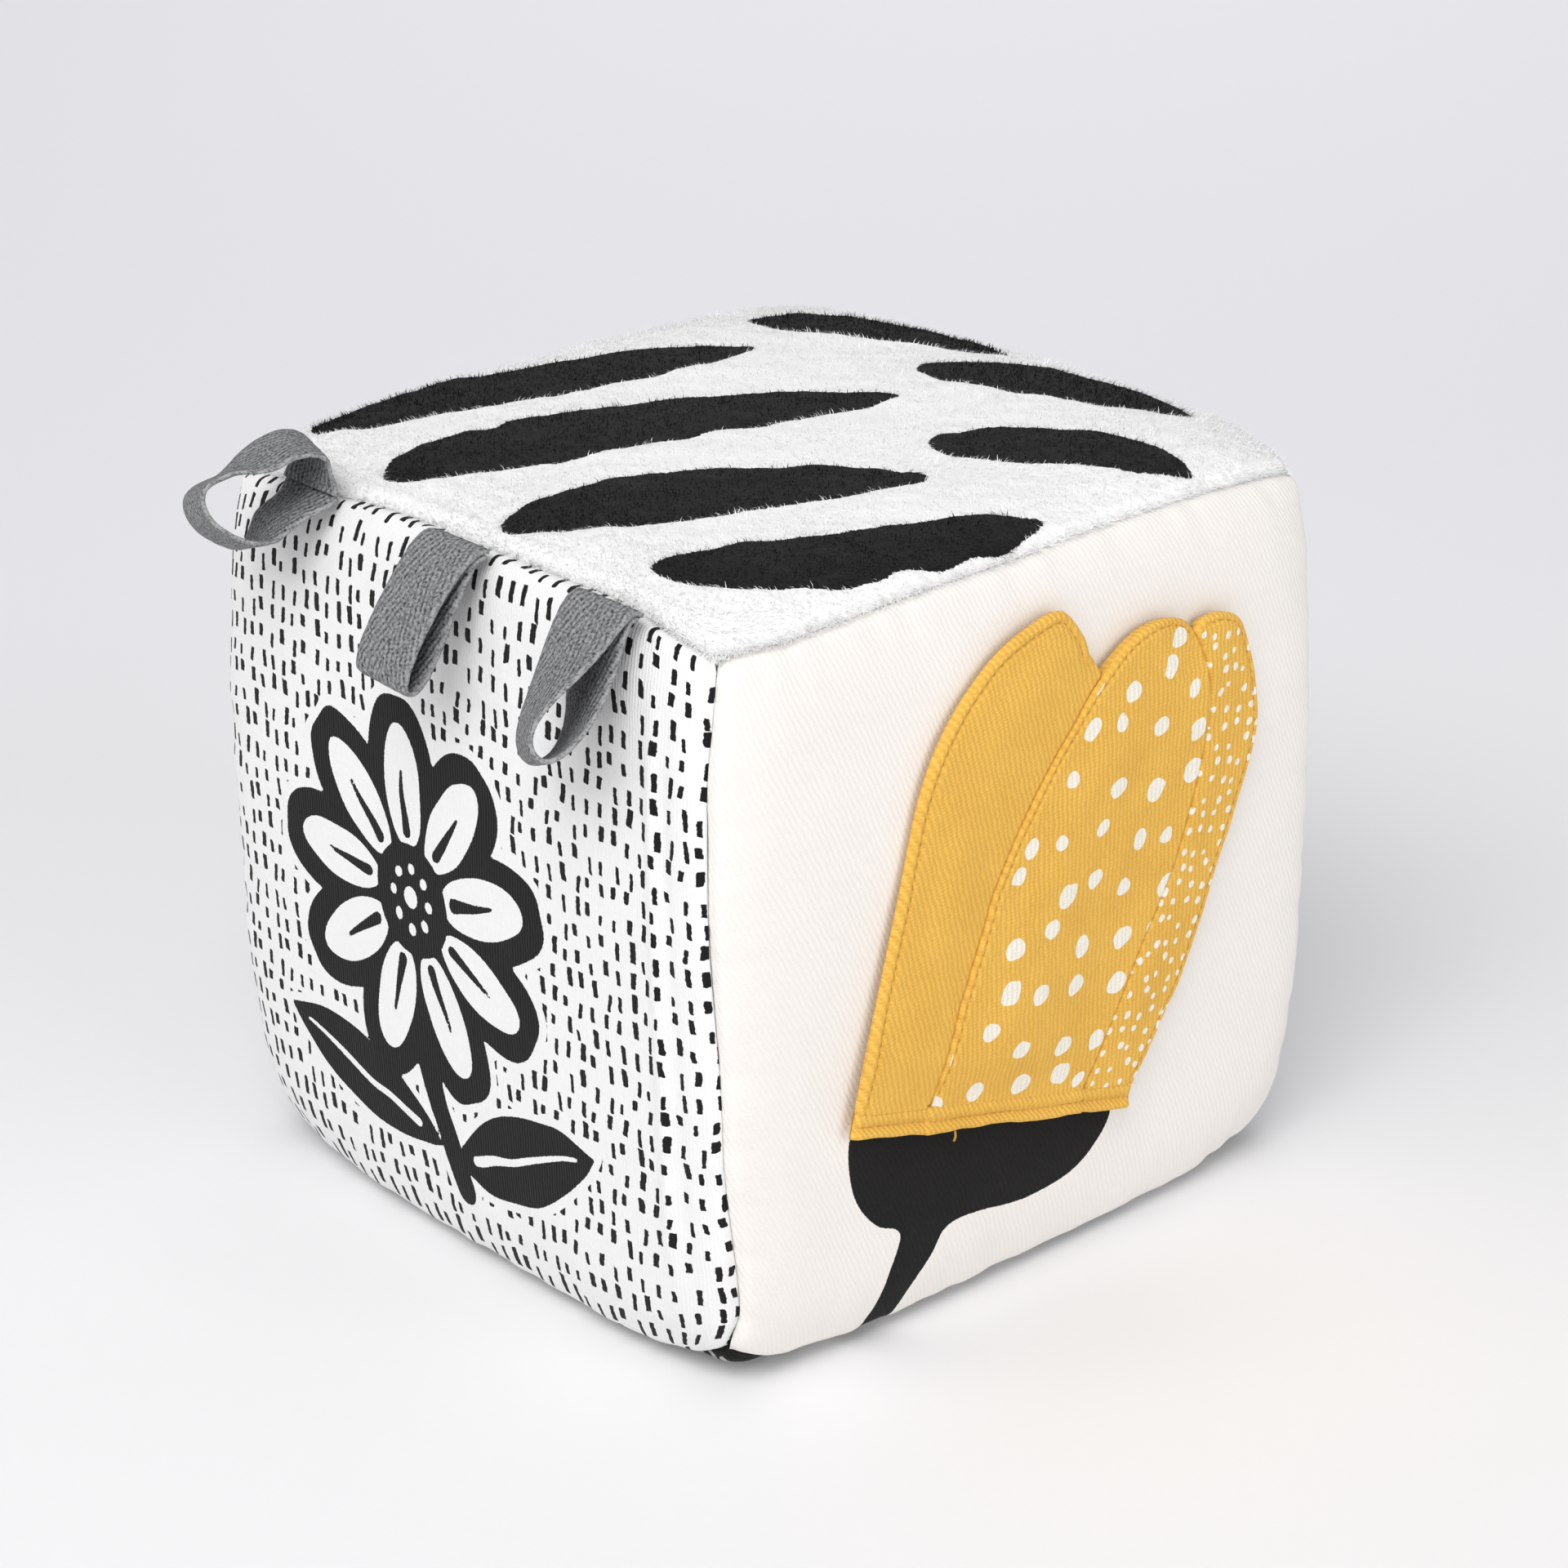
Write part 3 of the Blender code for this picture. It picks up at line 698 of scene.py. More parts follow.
height = maths(tree, "MULTIPLY_ADD", wale, 0.28, 0.35)
height = maths(tree, "MULTIPLY_ADD", pick, 0.10, height)
height = maths(tree, "MULTIPLY_ADD", fibre, 0.45, height)
wire(tree, outs["Height"], height)
cloudy = noise(tree, ins["Flat"], 0.012, 3.0)
# Shade follows the weave's height, so the colour it picks is painted shade in the valleys between the wales
# and painted light on their tops; its cloudy part is tone that differs at random.
shade = maths(tree, "MULTIPLY_ADD", height, 0.6, maths(tree, "MULTIPLY", cloudy, 0.4))
wire(tree, outs["Shade"], shade)
twill_weave = tree


def loose_cells(tree, cells, looseness):
    """A loose grid: each cell's random numbers, and the place in it from its middle."""
    grid = {"Vector": cells, "Scale": 1.0, "Randomness": looseness}
    cell = add_node(tree, "TexVoronoi", grid, voronoi_dimensions="2D").outputs
    aside = add_node(tree, "VectorMath", {0: cells, 1: cell["Position"]}, operation="SUBTRACT")
    return add_node(tree, "SeparateColor", {0: cell["Color"]}).outputs, aside.outputs[0]


# Hand-drawn strokes, one in each cell of a loose grid.
tree, ins, outs = new_group(
    "printed_strokes", ("Flat", "Across", "Up", "Width", "Length", "Looseness"), ("Mask",)
)
flat = add_node(tree, "SeparateXYZ", {0: ins["Flat"]}).outputs
cells = add_node(
    tree,
    "CombineXYZ",
    {
        "X": maths(tree, "DIVIDE", flat["X"], ins["Across"]),
        "Y": maths(tree, "DIVIDE", flat["Y"], ins["Up"]),
    },
).outputs[0]
chance, aside = loose_cells(tree, cells, ins["Looseness"])
aside = add_node(tree, "SeparateXYZ", {0: aside}).outputs
ragged = maths(tree, "SUBTRACT", noise(tree, ins["Flat"], 0.0009, 2.0), 0.5)
stroke_y = maths(tree, "MULTIPLY", aside["Y"], ins["Up"])
lean = maths(tree, "MULTIPLY_ADD", chance["Blue"], 0.22, -0.11)
stroke_x = maths(tree, "MULTIPLY", aside["X"], ins["Across"])
stroke_x = maths(tree, "MULTIPLY_ADD", stroke_y, lean, stroke_x)
wide = maths(tree, "MULTIPLY_ADD", chance["Green"], 0.3, 0.36)
wide = maths(tree, "MULTIPLY", ins["Width"], wide)
tall = maths(tree, "MULTIPLY_ADD", chance["Red"], 0.28, 0.34)
tall = maths(tree, "MULTIPLY", ins["Length"], tall)
past_x = maths(tree, "SUBTRACT", maths(tree, "ABSOLUTE", stroke_x), wide)
past_y = maths(tree, "SUBTRACT", maths(tree, "ABSOLUTE", stroke_y), tall)
past = maths(tree, "SMOOTH_MAX", past_x, past_y, 0.0005)
past = maths(tree, "MULTIPLY_ADD", ragged, 0.0006, past)
mask = maths(tree, "SUBTRACT", 1.0, step_up(tree, past, -0.00006, 0.00006))
wire(tree, outs["Mask"], mask)
printed_strokes = tree

MATT = {"Specular_IOR_Level": 0.15, "Sheen_Weight": 0.05, "Sheen_Roughness": 0.6}
# Each cloth's second colour is painted shade, laid into the valleys of its weave.
COTTON_WHITE, COTTON_SHADE = srgb(245, 245, 244), srgb(236, 236, 236)
# The paler ink is laid on the weave's tops, a painted highlight, and in cloudy patches of wear at random.
INK, INK_WORN_AND_LIT = srgb(10, 10, 10), srgb(27, 26, 26)
BARE_BORDER = 0.0016  # white cloth kept clear round the picture


def woven_finish(name, roughness, pitch, slant, shade, colour):
    """Woven cloth: its material, tree and shader, flat places, weave and bare colour, which is painted
    darker in the weave's valleys as shade.
    """
    made, tree, shader = finish_of(name, roughness, **MATT)
    flat = flat_place(tree)
    weave = use_group(tree, twill_weave, Flat=flat, Pitch=pitch, Slant=slant)
    return made, tree, shader, flat, weave, blend_colours(tree, weave["Shade"], shade, colour)


def print_cloth(tree, shader, weave, cloth, ink, relief=0.00012):
    """Colour a cloth, black where the ink is 1, and raise its weave; the ink is paler on the weave's tops,
    a painted highlight.
    """
    black = blend_colours(tree, weave["Shade"], INK, INK_WORN_AND_LIT)
    wire(tree, shader.inputs["Base Color"], blend_colours(tree, ink, cloth, black))
    bump(tree, shader, weave["Height"], relief)


def hand_drawn(panel, shake, size, seed):
    """A panel's places, shaken a little, so that a shape over them looks drawn by hand."""
    x = panel.x + shake * drift(panel.x, panel.y, size, seed)
    y = panel.y + shake * drift(panel.x, panel.y, size, seed + 1)
    return x, y


def as_print(ink, away):
    """Depth of ink and distance from the picture, in the form that a panel keeps."""
    return np.stack([ink, away, np.zeros_like(ink)], -1)


def disc(x, y, at, radius):
    """Depth inside a disc, in metres, negative outside."""
    return radius - np.hypot(x - at[0], y - at[1])


def oval(x, y, at, long, wide, angle):
    """Depth inside an oval whose long half axis lies at an angle from X."""
    dx, dy = x - at[0], y - at[1]
    s = (dx * math.cos(angle) + dy * math.sin(angle)) / long
    t = (dy * math.cos(angle) - dx * math.sin(angle)) / wide
    far = np.hypot(s, t)
    return far * (1 - far) / np.maximum(np.hypot(s / long, t / wide), 1e-9)


def leaf(x, y, root, tip, wide):
    """Depth inside a leaf between two points, of the given half width."""
    root, tip = np.array(root), np.array(tip)
    span = tip - root
    length = np.linalg.norm(span)
    dx, dy = x - (root[0] + tip[0]) / 2, y - (root[1] + tip[1]) / 2
    s = (dx * span[0] + dy * span[1]) / length
    t = np.abs(dy * span[0] - dx * span[1]) / length
    radius = (length**2 / 4 + wide**2) / (2 * wide)
    return radius - np.hypot(s, t + radius - wide)


def line_depth(x, y, start, end, radius, end_radius):
    """Depth inside a straight stroke with round ends of their own radii."""
    start, end = np.array(start), np.array(end)
    span = end - start
    share = np.clip(((x - start[0]) * span[0] + (y - start[1]) * span[1]) / (span @ span), 0, 1)
    thick = radius + (end_radius - radius) * share
    return thick - np.hypot(x - start[0] - share * span[0], y - start[1] - share * span[1])


FLOWER = (-0.009, -0.001)  # the middle of the flower, from the middle of the panel
PETALS, FIRST_PETAL = 9, 0.35  # the first petal's turn, in petals
PETAL_RING = 0.0215  # from the flower's middle to the middle of a petal
PETAL_LONG, PETAL_WIDE = 0.0118, 0.0054
PETAL_BORDER = 0.0048
PETAL_VEIN = (0.0132, 0.0245)  # the same, to the ends of a petal's vein
PETAL_VEIN_RADII = (0.0012, 0.0004)
FLOWER_EYE, EYE_BORDER = 0.0092, 0.0016
EYE_DOTS, EYE_RING, EYE_DOT, EYE_MIDDLE = 8, 0.0056, 0.0011, 0.0021
STEM = ((-0.009, -0.024), (-0.004, -0.041), (0.002, -0.054))
STEM_RADIUS = 0.0028
# The root and the tip of each leaf and its half width, and the ends of its vein as
# shares of the way from the root to the tip.
LEAVES = (((0.000, -0.050), (0.040, -0.034), 0.0082), ((-0.004, -0.048), (-0.050, -0.036), 0.0076))
LEAF_VEIN, LEAF_VEIN_RADII = (0.15, 0.875), (0.0009, 0.0004)


def from_flower(far, angle):
    """A place at a distance and an angle from the flower's middle."""
    return FLOWER[0] + far * math.cos(angle), FLOWER[1] + far * math.sin(angle)


def flower_print(panel):
    """Depth of ink, and distance from the picture, over the front panel."""
    x, y = hand_drawn(panel, 0.0005, 0.007, 101)
    solid = disc(x, y, FLOWER, PETAL_VEIN[1])
    bare = np.full_like(x, -1.0)
    for k in range(PETALS):
        angle = math.tau * (k + FIRST_PETAL) / PETALS
        petal = oval(x, y, from_flower(PETAL_RING, angle), PETAL_LONG, PETAL_WIDE, angle)
        solid = np.maximum(solid, petal + PETAL_BORDER)
        start, end = (from_flower(far, angle) for far in PETAL_VEIN)
        vein = line_depth(x, y, start, end, *PETAL_VEIN_RADII)
        bare = np.maximum(bare, np.minimum(petal, -vein))
    bare = np.minimum(bare, -(disc(x, y, FLOWER, FLOWER_EYE) + EYE_BORDER))
    for k in range(EYE_DOTS):
        spot = from_flower(EYE_RING, math.tau * k / EYE_DOTS)
        bare = np.maximum(bare, disc(x, y, spot, EYE_DOT))
    bare = np.maximum(bare, disc(x, y, FLOWER, EYE_MIDDLE))
    for start, end in zip(STEM, STEM[1:]):
        solid = np.maximum(solid, line_depth(x, y, start, end, STEM_RADIUS, STEM_RADIUS))
    for root, tip, wide in LEAVES:
        blade = leaf(x, y, root, tip, wide)
        solid = np.maximum(solid, blade)
        start, end = ((1 - share) * np.array(root) + share * np.array(tip) for share in LEAF_VEIN)
        vein = line_depth(x, y, start, end, *LEAF_VEIN_RADII)
        bare = np.maximum(bare, np.minimum(vein, blade - 0.001))
    return as_print(np.minimum(solid, -bare), -solid)


CREASE_PLACE, CREASE_WIDTH = 0.0585, 0.0016
CREASE_RISE, CREASE_VALLEY = 0.0007, 0.0005


def creased(relief):
    """Add the soft upright fold that stands beside the near seam."""

    def both(panel):
        line = CREASE_PLACE + 0.0008 * ripple(panel.y, 0.03, 7)
        side = (panel.x - line) / CREASE_WIDTH
        fade = ease((panel.gap_y - 0.004) / 0.03)
        crease = CREASE_RISE * np.exp(-(side**2)) - CREASE_VALLEY * np.exp(-((side - 1.9) ** 2))
        return relief(panel) + crease * fade

    return both


front = Panel(
    "front",
    220,
    (no_slide, front_right_slide, low_slide, front_top_slide),
    creased(puckered(11, puckers=0.00038, spacing=0.0050)),
)
front.print = flower_print(front)

COTTON = (0.92, 0.0007, 0.0, COTTON_SHADE, COTTON_WHITE)  # roughness, pitch, slant and colours
front_finish, tree, shader, flat, weave, cloth = woven_finish("printed_cotton", *COTTON)
# The strokes' rows sway a little, and stop short of the picture.
swaying = add_node(tree, "TexNoise", {"Vector": flat, "Scale": 70.0}).outputs["Color"]
sway = add_node(
    tree, "VectorMath", {0: swaying, 1: (0.0026, 0.0030, 0), 2: flat}, operation="MULTIPLY_ADD"
).outputs[0]
strokes = use_group(
    tree, printed_strokes, Flat=sway, Across=0.0035, Up=0.0048, Width=0.00112, Length=0.0029, Looseness=0.44
)["Mask"]
clear = step_up(tree, printed(tree)["Y"], BARE_BORDER, BARE_BORDER + 0.0001)
ink = maths(tree, "MAXIMUM", ink_mask(tree, flat), maths(tree, "MULTIPLY", strokes, clear))
wire(tree, shader.inputs["Roughness"], maths(tree, "MULTIPLY_ADD", ink, -0.14, 0.92))
print_cloth(tree, shader, weave, cloth, ink)
sew_panel("front", front, front_finish, "white_cotton")

# Right panel
# White cotton twill, whose wales run at a slant. A black cup on a stem is printed
# under the hem of the flaps, so that they stand in it.
CURVE_STEPS = 12  # points that a smooth line has for each given point
# The cup's outline from its left rim, under the hem, down its left side, round the
# stem and up its right side, in metres from the panel's middle.
CUP = (
    (-0.0466, -0.0262),
    (-0.0473, -0.0290),
    (-0.0470, -0.0335),
    (-0.0458, -0.0395),
    (-0.0434, -0.0440),
    (-0.0402, -0.0472),
    (-0.0362, -0.0490),
    (-0.0352, -0.0512),
    (-0.0378, -0.0560),
    (-0.0402, -0.0610),
    (-0.0436, -0.0665),
    (-0.0475, -0.0790),
    (-0.0395, -0.0790),
    (-0.0360, -0.0660),
    (-0.0316, -0.0600),
    (-0.0276, -0.0560),
    (-0.0250, -0.0528),
    (-0.0215, -0.0518),
    (-0.0165, -0.0522),
    (-0.0100, -0.0532),
    (-0.0020, -0.0538),
    (0.0065, -0.0532),
    (0.0120, -0.0512),
    (0.0160, -0.0474),
    (0.0173, -0.0446),
    (0.0174, -0.0428),
)


def smooth_line(points):
    """Points along a smooth curve through the given ones."""
    known = np.array([points[0], *points, points[-1]])
    line = []
    for k in range(1, len(known) - 2):
        for step in range(CURVE_STEPS):
            line.append(cubic(np.array(step / CURVE_STEPS)) @ known[k - 1 : k + 3])
    return np.array([*line, known[-1]])


def closed(outline):
    """An outline with its first point again at its end."""
    return np.concatenate([outline, outline[:1]])


def from_line(points, line):
    """Each point's distance from a line."""
    nearest = np.full(len(points), 9.0)
    for start, end in zip(line, line[1:]):
        span = end - start
        square = max(span @ span, 1e-14)
        share = np.clip((points - start) @ span / square, 0, 1)
        nearest = np.minimum(nearest, np.linalg.norm(points - start - share[:, None] * span, axis=1))
    return nearest


def inside(points, outline):
    """Which points lie inside an outline."""
    hits = np.zeros(len(points), int)
    for (ax, ay), (bx, by) in zip(outline, np.roll(outline, -1, axis=0), strict=True):
        if ay != by:
            crosses = (ay > points[:, 1]) != (by > points[:, 1])
            hits += crosses & (points[:, 0] < ax + (points[:, 1] - ay) * (bx - ax) / (by - ay))
    return hits % 2 == 1


def cup_print(panel):
    """Depth of ink over the right panel."""
    x, y = hand_drawn(panel, 0.0003, 0.008, 111)
    places = np.stack([x, y], -1).reshape(-1, 2)
    outline = smooth_line(np.array(CUP))
    ink = np.where(inside(places, outline), 1, -1) * from_line(places, closed(outline))
    ink = ink.reshape(x.shape)
    return as_print(ink, -ink)


right = Panel(
    "right",
    210,
    (opposite(front_right_slide), no_slide, low_slide, opposite(top_right_slide)),
    puckered(21, puckers=0.00034, spacing=0.0036, waves=0.0005),
)
right.print = cup_print(right)
# TWILL_SHADE is painted shade in the valleys of the twill's wales.
TWILL_WHITE, TWILL_SHADE = srgb(244, 240, 236), srgb(237, 233, 229)
right_finish, tree, shader, flat, weave, cloth = woven_finish(
    "white_twill", 0.9, 0.0010, math.radians(-25), TWILL_SHADE, TWILL_WHITE
)
print_cloth(tree, shader, weave, cloth, ink_mask(tree, flat), 0.00011)
sew_panel("right", right, right_finish, "white_cotton")

# Top panel
# Short white plush with a black print. Its pile stands a millimetre and a half off
# the knitted ground, leans a little all one way, and hangs over the seams in tufts.
STROKES = (
    # start, middle and end of a brush stroke, and its greatest half width
    ((-0.062, -0.056), (-0.052, -0.012), (-0.038, 0.030), 0.0118),
    ((-0.052, 0.046), (-0.036, 0.058), (-0.006, 0.066), 0.0098),
    ((-0.028, -0.064), (-0.017, -0.018), (0.004, 0.030), 0.0124),
    ((0.010, -0.066), (0.020, -0.032), (0.040, 0.002), 0.0120),
    ((-0.004, 0.046), (0.014, 0.057), (0.046, 0.065), 0.0094),
    ((0.030, 0.016), (0.044, 0.032), (0.066, 0.042), 0.0100),
    ((0.044, -0.062), (0.056, -0.036), (0.066, 0.004), 0.0092),
)


def stroke_print(panel):
    """Depth of ink over the top: brush strokes that taper off at both ends."""
    x, y = hand_drawn(panel, 0.0014, 0.007, 121)
    ink = np.full_like(x, -1.0)
    for start, middle, end, wide in STROKES:
        start, middle, end = (np.array(place) for place in (start, middle, end))
        pull = 2 * middle - (start + end) / 2
        for t in np.linspace(0, 1, 60):
            spot = (1 - t) ** 2 * start + 2 * t * (1 - t) * pull + t**2 * end
            thick = wide * math.sin(math.pi * t**0.8) ** 0.6
            ink = np.maximum(ink, disc(x, y, spot, thick))
    return as_print(ink, -ink)


def plushy(panel):
    """Pile has soft lumps where its tufts part, and fills the seams that it meets."""
    x, y = panel.x, panel.y
    lumps = 0.00018 * drift(x, y, 0.0036, 131) + 0.00006 * drift(x, y, 0.0015, 132)
    broad = 0.0005 * drift(x, y, 0.020, 133)
    gap = np.minimum(panel.gap_x, panel.gap_y)
    return 0.0004 * np.exp(-(((gap - 0.0026) / 0.0020) ** 2)) + (lumps + broad) * ease(gap / 0.001)


top = Panel("top", 220, (no_slide, top_right_slide, opposite(front_top_slide), no_slide), plushy)
top.print = stroke_print(top)

# Each colour of plush runs from a darker tone, painted shade in the ground's hollows and at the strands'
# roots, to a lighter one on the tufts' tops and the strands' tips.
PLUSH_WHITE, PLUSH_SHADE = srgb(248, 248, 248), srgb(243, 243, 243)
PLUSH_BLACK, PLUSH_GREY = srgb(9, 9, 9), srgb(36, 36, 36)
top_finish, tree, shader = finish_of("plush_ground", 1.0, **MATT)
flat = flat_place(tree)
tufts = noise(tree, flat, 0.0011, 4.0, 0.65)
ink = ink_mask(tree, flat, 0.0008, 3.0, 0.0012, 0.0001)
# One noise both raises the ground's tufts and colours them: painted shade where the bump sinks, painted
# light where it rises.
pale = blend_colours(tree, tufts, PLUSH_SHADE, PLUSH_WHITE)
dark = blend_colours(tree, tufts, PLUSH_BLACK, PLUSH_GREY)
wire(tree, shader.inputs["Base Color"], blend_colours(tree, ink, pale, dark))
bump(tree, shader, tufts, 0.0002)

PILE_STRANDS = 52000
TUFT_STRANDS = 9000  # more of them, along the seams
PILE_LENGTH = 0.0014
PILE_WIDTH = 0.00016
PILE_SINK = 0.0003


def strands(panel, count, seed, beside_seams=False):
    """Pile as thin bent blades: their points, faces, flat places and depth of ink."""
    chance = np.random.default_rng(seed)
    size = np.array(panel.x.shape) - 1.001
    at = chance.uniform(0, 1, (count, 2))
    if beside_seams:
        edge = chance.integers(0, 4, count)
        near = chance.exponential(0.006, count)
        at[np.arange(count), edge % 2] = np.where(edge < 2, near, 1 - near)
    at = np.clip(at, 0, 1) * size
    i, j = at.astype(int).T
    s, t = (at - at.astype(int)).T[..., None]

    def between(values):
        low = values[i, j] + (values[i + 1, j] - values[i, j]) * s
        high = values[i, j + 1] + (values[i + 1, j + 1] - values[i, j + 1]) * s
        return low + (high - low) * t

    root, normal = between(panel.points), between(panel.normals)
    flat = between(np.stack([panel.x, panel.y], -1))
    ink = between(panel.print[..., :1])[:, 0]
    turn = 2.2 * drift(flat[:, 0], flat[:, 1], 0.010, seed + 1) + chance.normal(0, 0.7, count) - 0.9
    away = np.column_stack([np.cos(turn), np.sin(turn), np.zeros(count)])
    if beside_seams:
        away = root - CENTRE
        away[:, 2] = 0
        away /= np.linalg.norm(away, axis=1, keepdims=True)
        away += chance.normal(0, 0.5, (count, 3))
    away -= (away * normal).sum(1, keepdims=True) * normal
    away /= np.linalg.norm(away, axis=1, keepdims=True)
    aside = np.cross(normal, away)
    length = PILE_LENGTH * chance.uniform(0.7, 1.25, (count, 1))
    lean = chance.uniform(0.45, 1.15, (count, 1))
    root = root - PILE_SINK * normal
    middle = root + 0.55 * length * (np.cos(0.6 * lean) * normal + np.sin(0.6 * lean) * away)
    tip = middle + 0.55 * length * (np.cos(1.5 * lean) * normal + np.sin(1.5 * lean) * away)
    half = PILE_WIDTH / 2 * aside
    points = [root - half, root + half, middle + 0.8 * half, middle - 0.8 * half, tip]
    points = np.stack(points, 1)
    shares = (0.0, 0.0, 0.55, 0.55, 1.0)
    flats = np.stack([np.column_stack([flat, np.full(count, share)]) for share in shares], 1)
    offsets = np.array([(-0.5, -0.5), (0.5, -0.5), (0.5, 0.3), (-0.5, 0.3), (0, 0.8)]) * 0.0006
    layout = flat[:, None] + offsets
    return points, flats, layout, ink


def pile_piece(name, finish, keep, batches):
    """One colour of the pile as a piece, from batches of strands."""
    points, flats, layout = ([], [], [])
    for batch in batches:
        chosen = keep(batch[3])
        for store, values in zip((points, flats, layout), batch[:3], strict=True):
            store.append(values[chosen])
    points, flats, layout = (np.concatenate(rows) for rows in (points, flats, layout))
    first = 5 * np.arange(len(points))[:, None]
    blades = (first + np.array([[0, 1, 2, 3]])).tolist() + (first + np.array([[3, 2, 4]])).tolist()
    mesh = bpy.data.meshes.new(name)
    mesh.from_pydata(points.reshape(-1, 3), [], blades)
    mesh.shade_smooth()
    remember(mesh, "flat", flats.reshape(-1, 3))
    lay_out(mesh, layout.reshape(-1, 2))
    return place_piece(name, mesh, finish, "white_plush", "block")


def pile_finish(name, root_colour, tip_colour):
    """The finish of one colour of pile, painted darker at the roots as shade where the strands crowd, and
    uneven from tuft to tuft.
    """
    made, tree, shader = finish_of(name, 1.0, **MATT)
    flat = flat_place(tree)
    share = add_node(tree, "SeparateXYZ", {0: flat}).outputs["Z"]
    share = maths(tree, "MULTIPLY", share, 0.7)
    share = maths(tree, "MULTIPLY_ADD", noise(tree, flat, 0.0015, 3.0), 0.5, share)
    wire(tree, shader.inputs["Base Color"], blend_colours(tree, share, root_colour, tip_colour))
    return made


batches = (strands(top, PILE_STRANDS, 141), strands(top, TUFT_STRANDS, 151, beside_seams=True))
white_pile = pile_piece(
    "white_pile", pile_finish("white_pile", PLUSH_SHADE, PLUSH_WHITE), lambda ink: ink < 0, batches
)
black_pile = pile_piece(
    "black_pile", pile_finish("black_pile", PLUSH_BLACK, PLUSH_GREY), lambda ink: ink >= 0, batches
)
sew_panel("top", top, top_finish, "white_plush")

# Back and left panels
# Printed cotton again: the back in thick black strokes, the left side in round spots.
back = Panel("back", 150, (no_slide, no_slide, low_slide, no_slide), puckered(41))
back_finish, tree, shader, flat, weave, cloth = woven_finish("bold_cotton", *COTTON)
strokes = use_group(
    tree, printed_strokes, Flat=flat, Across=0.0060, Up=0.0088, Width=0.0026, Length=0.0058, Looseness=0.40
)["Mask"]
print_cloth(tree, shader, weave, cloth, strokes)
sew_panel("back", back, back_finish, "white_cotton")

# Round spots, one in each cell of a loose grid, some of them a little squashed.
tree, ins, outs = new_group(
    "printed_spots", ("Flat", "Pitch", "Size", "Looseness", "Lumps"), ("Mask",)
)
cells = add_node(
    tree,
    "VectorMath",
    {0: ins["Flat"], 1: maths(tree, "DIVIDE", 1.0, ins["Pitch"])},
    operation="MULTIPLY",
).outputs[0]
chance, aside = loose_cells(tree, cells, ins["Looseness"])
turn = maths(tree, "MULTIPLY_ADD", chance["Blue"], 1.0, 0.1)
aside = add_node(
    tree, "VectorRotate", {"Vector": aside, "Angle": turn}, rotation_type="Z_AXIS"
).outputs[0]
aside = add_node(tree, "VectorMath", {0: aside, 1: (1.0, 0.84, 0.0)}, operation="MULTIPLY").outputs[0]
far = add_node(tree, "VectorMath", {0: aside}, operation="LENGTH").outputs["Value"]
far = maths(tree, "MULTIPLY", far, ins["Pitch"])
lumpy = add_node(tree, "TexNoise", {"Vector": ins["Flat"], "Scale": ins["Lumps"], "Detail": 0.0})
uneven = maths(tree, "SUBTRACT", lumpy.outputs["Fac"], 0.5)
far = maths(tree, "MULTIPLY_ADD", uneven, maths(tree, "MULTIPLY", ins["Size"], 0.36), far)
reach = maths(tree, "MULTIPLY_ADD", chance["Red"], 0.22, 0.37)
past = maths(tree, "SUBTRACT", far, maths(tree, "MULTIPLY", ins["Size"], reach))
mask = maths(tree, "SUBTRACT", 1.0, step_up(tree, past, -0.00008, 0.00008))
wire(tree, outs["Mask"], mask)
printed_spots = tree

left = Panel("left", 150, (no_slide, no_slide, low_slide, no_slide), puckered(51))
left_finish, tree, shader, flat, weave, cloth = woven_finish("spotted_cotton", *COTTON)
spots = use_group(
    tree, printed_spots, Flat=flat, Pitch=0.0115, Size=0.0062, Looseness=0.35, Lumps=180.0
)["Mask"]
print_cloth(tree, shader, weave, cloth, spots)
sew_panel("left", left, left_finish, "white_cotton")

# Bottom panel
# Black cotton with short grey strokes, pressed flat by the table it stands on.
bottom = Panel("bottom", 120, (opposite(low_slide),) * 4, puckered(61))
GREY_INK = srgb(176, 174, 172)
# The dark cotton is painted paler on its weave's tops and darker in the valleys: painted light and shade.
bottom_finish, tree, shader, flat, weave, cloth = woven_finish(
    "dark_cotton", 0.9, 0.0008, 0.0, INK, INK_WORN_AND_LIT
)
strokes = use_group(
    tree, printed_strokes, Flat=flat, Across=0.0044, Up=0.0062, Width=0.0013, Length=0.0036, Looseness=0.5
)["Mask"]
wire(tree, shader.inputs["Base Color"], blend_colours(tree, strokes, cloth, GREY_INK))
bump(tree, shader, weave["Height"], 0.00012)
sew_panel("bottom", bottom, bottom_finish, "dark_cotton")

# Foam core
# Two halves of cut open-cell foam fill the cover, with a round pocket between them.
FOAM_VOXEL = 0.0028
FOAM_ROUGHNESS = 0.00018
FOAM_PALE, FOAM_DARK = srgb(243, 240, 228), srgb(214, 208, 190)
foam_finish, tree, shader = finish_of("open_cell_foam", 0.95)
grain = add_node(tree, "TexCoord").outputs["Object"]
pores = add_node(tree, "TexVoronoi", {"Vector": grain, "Scale": 900.0}).outputs["Distance"]
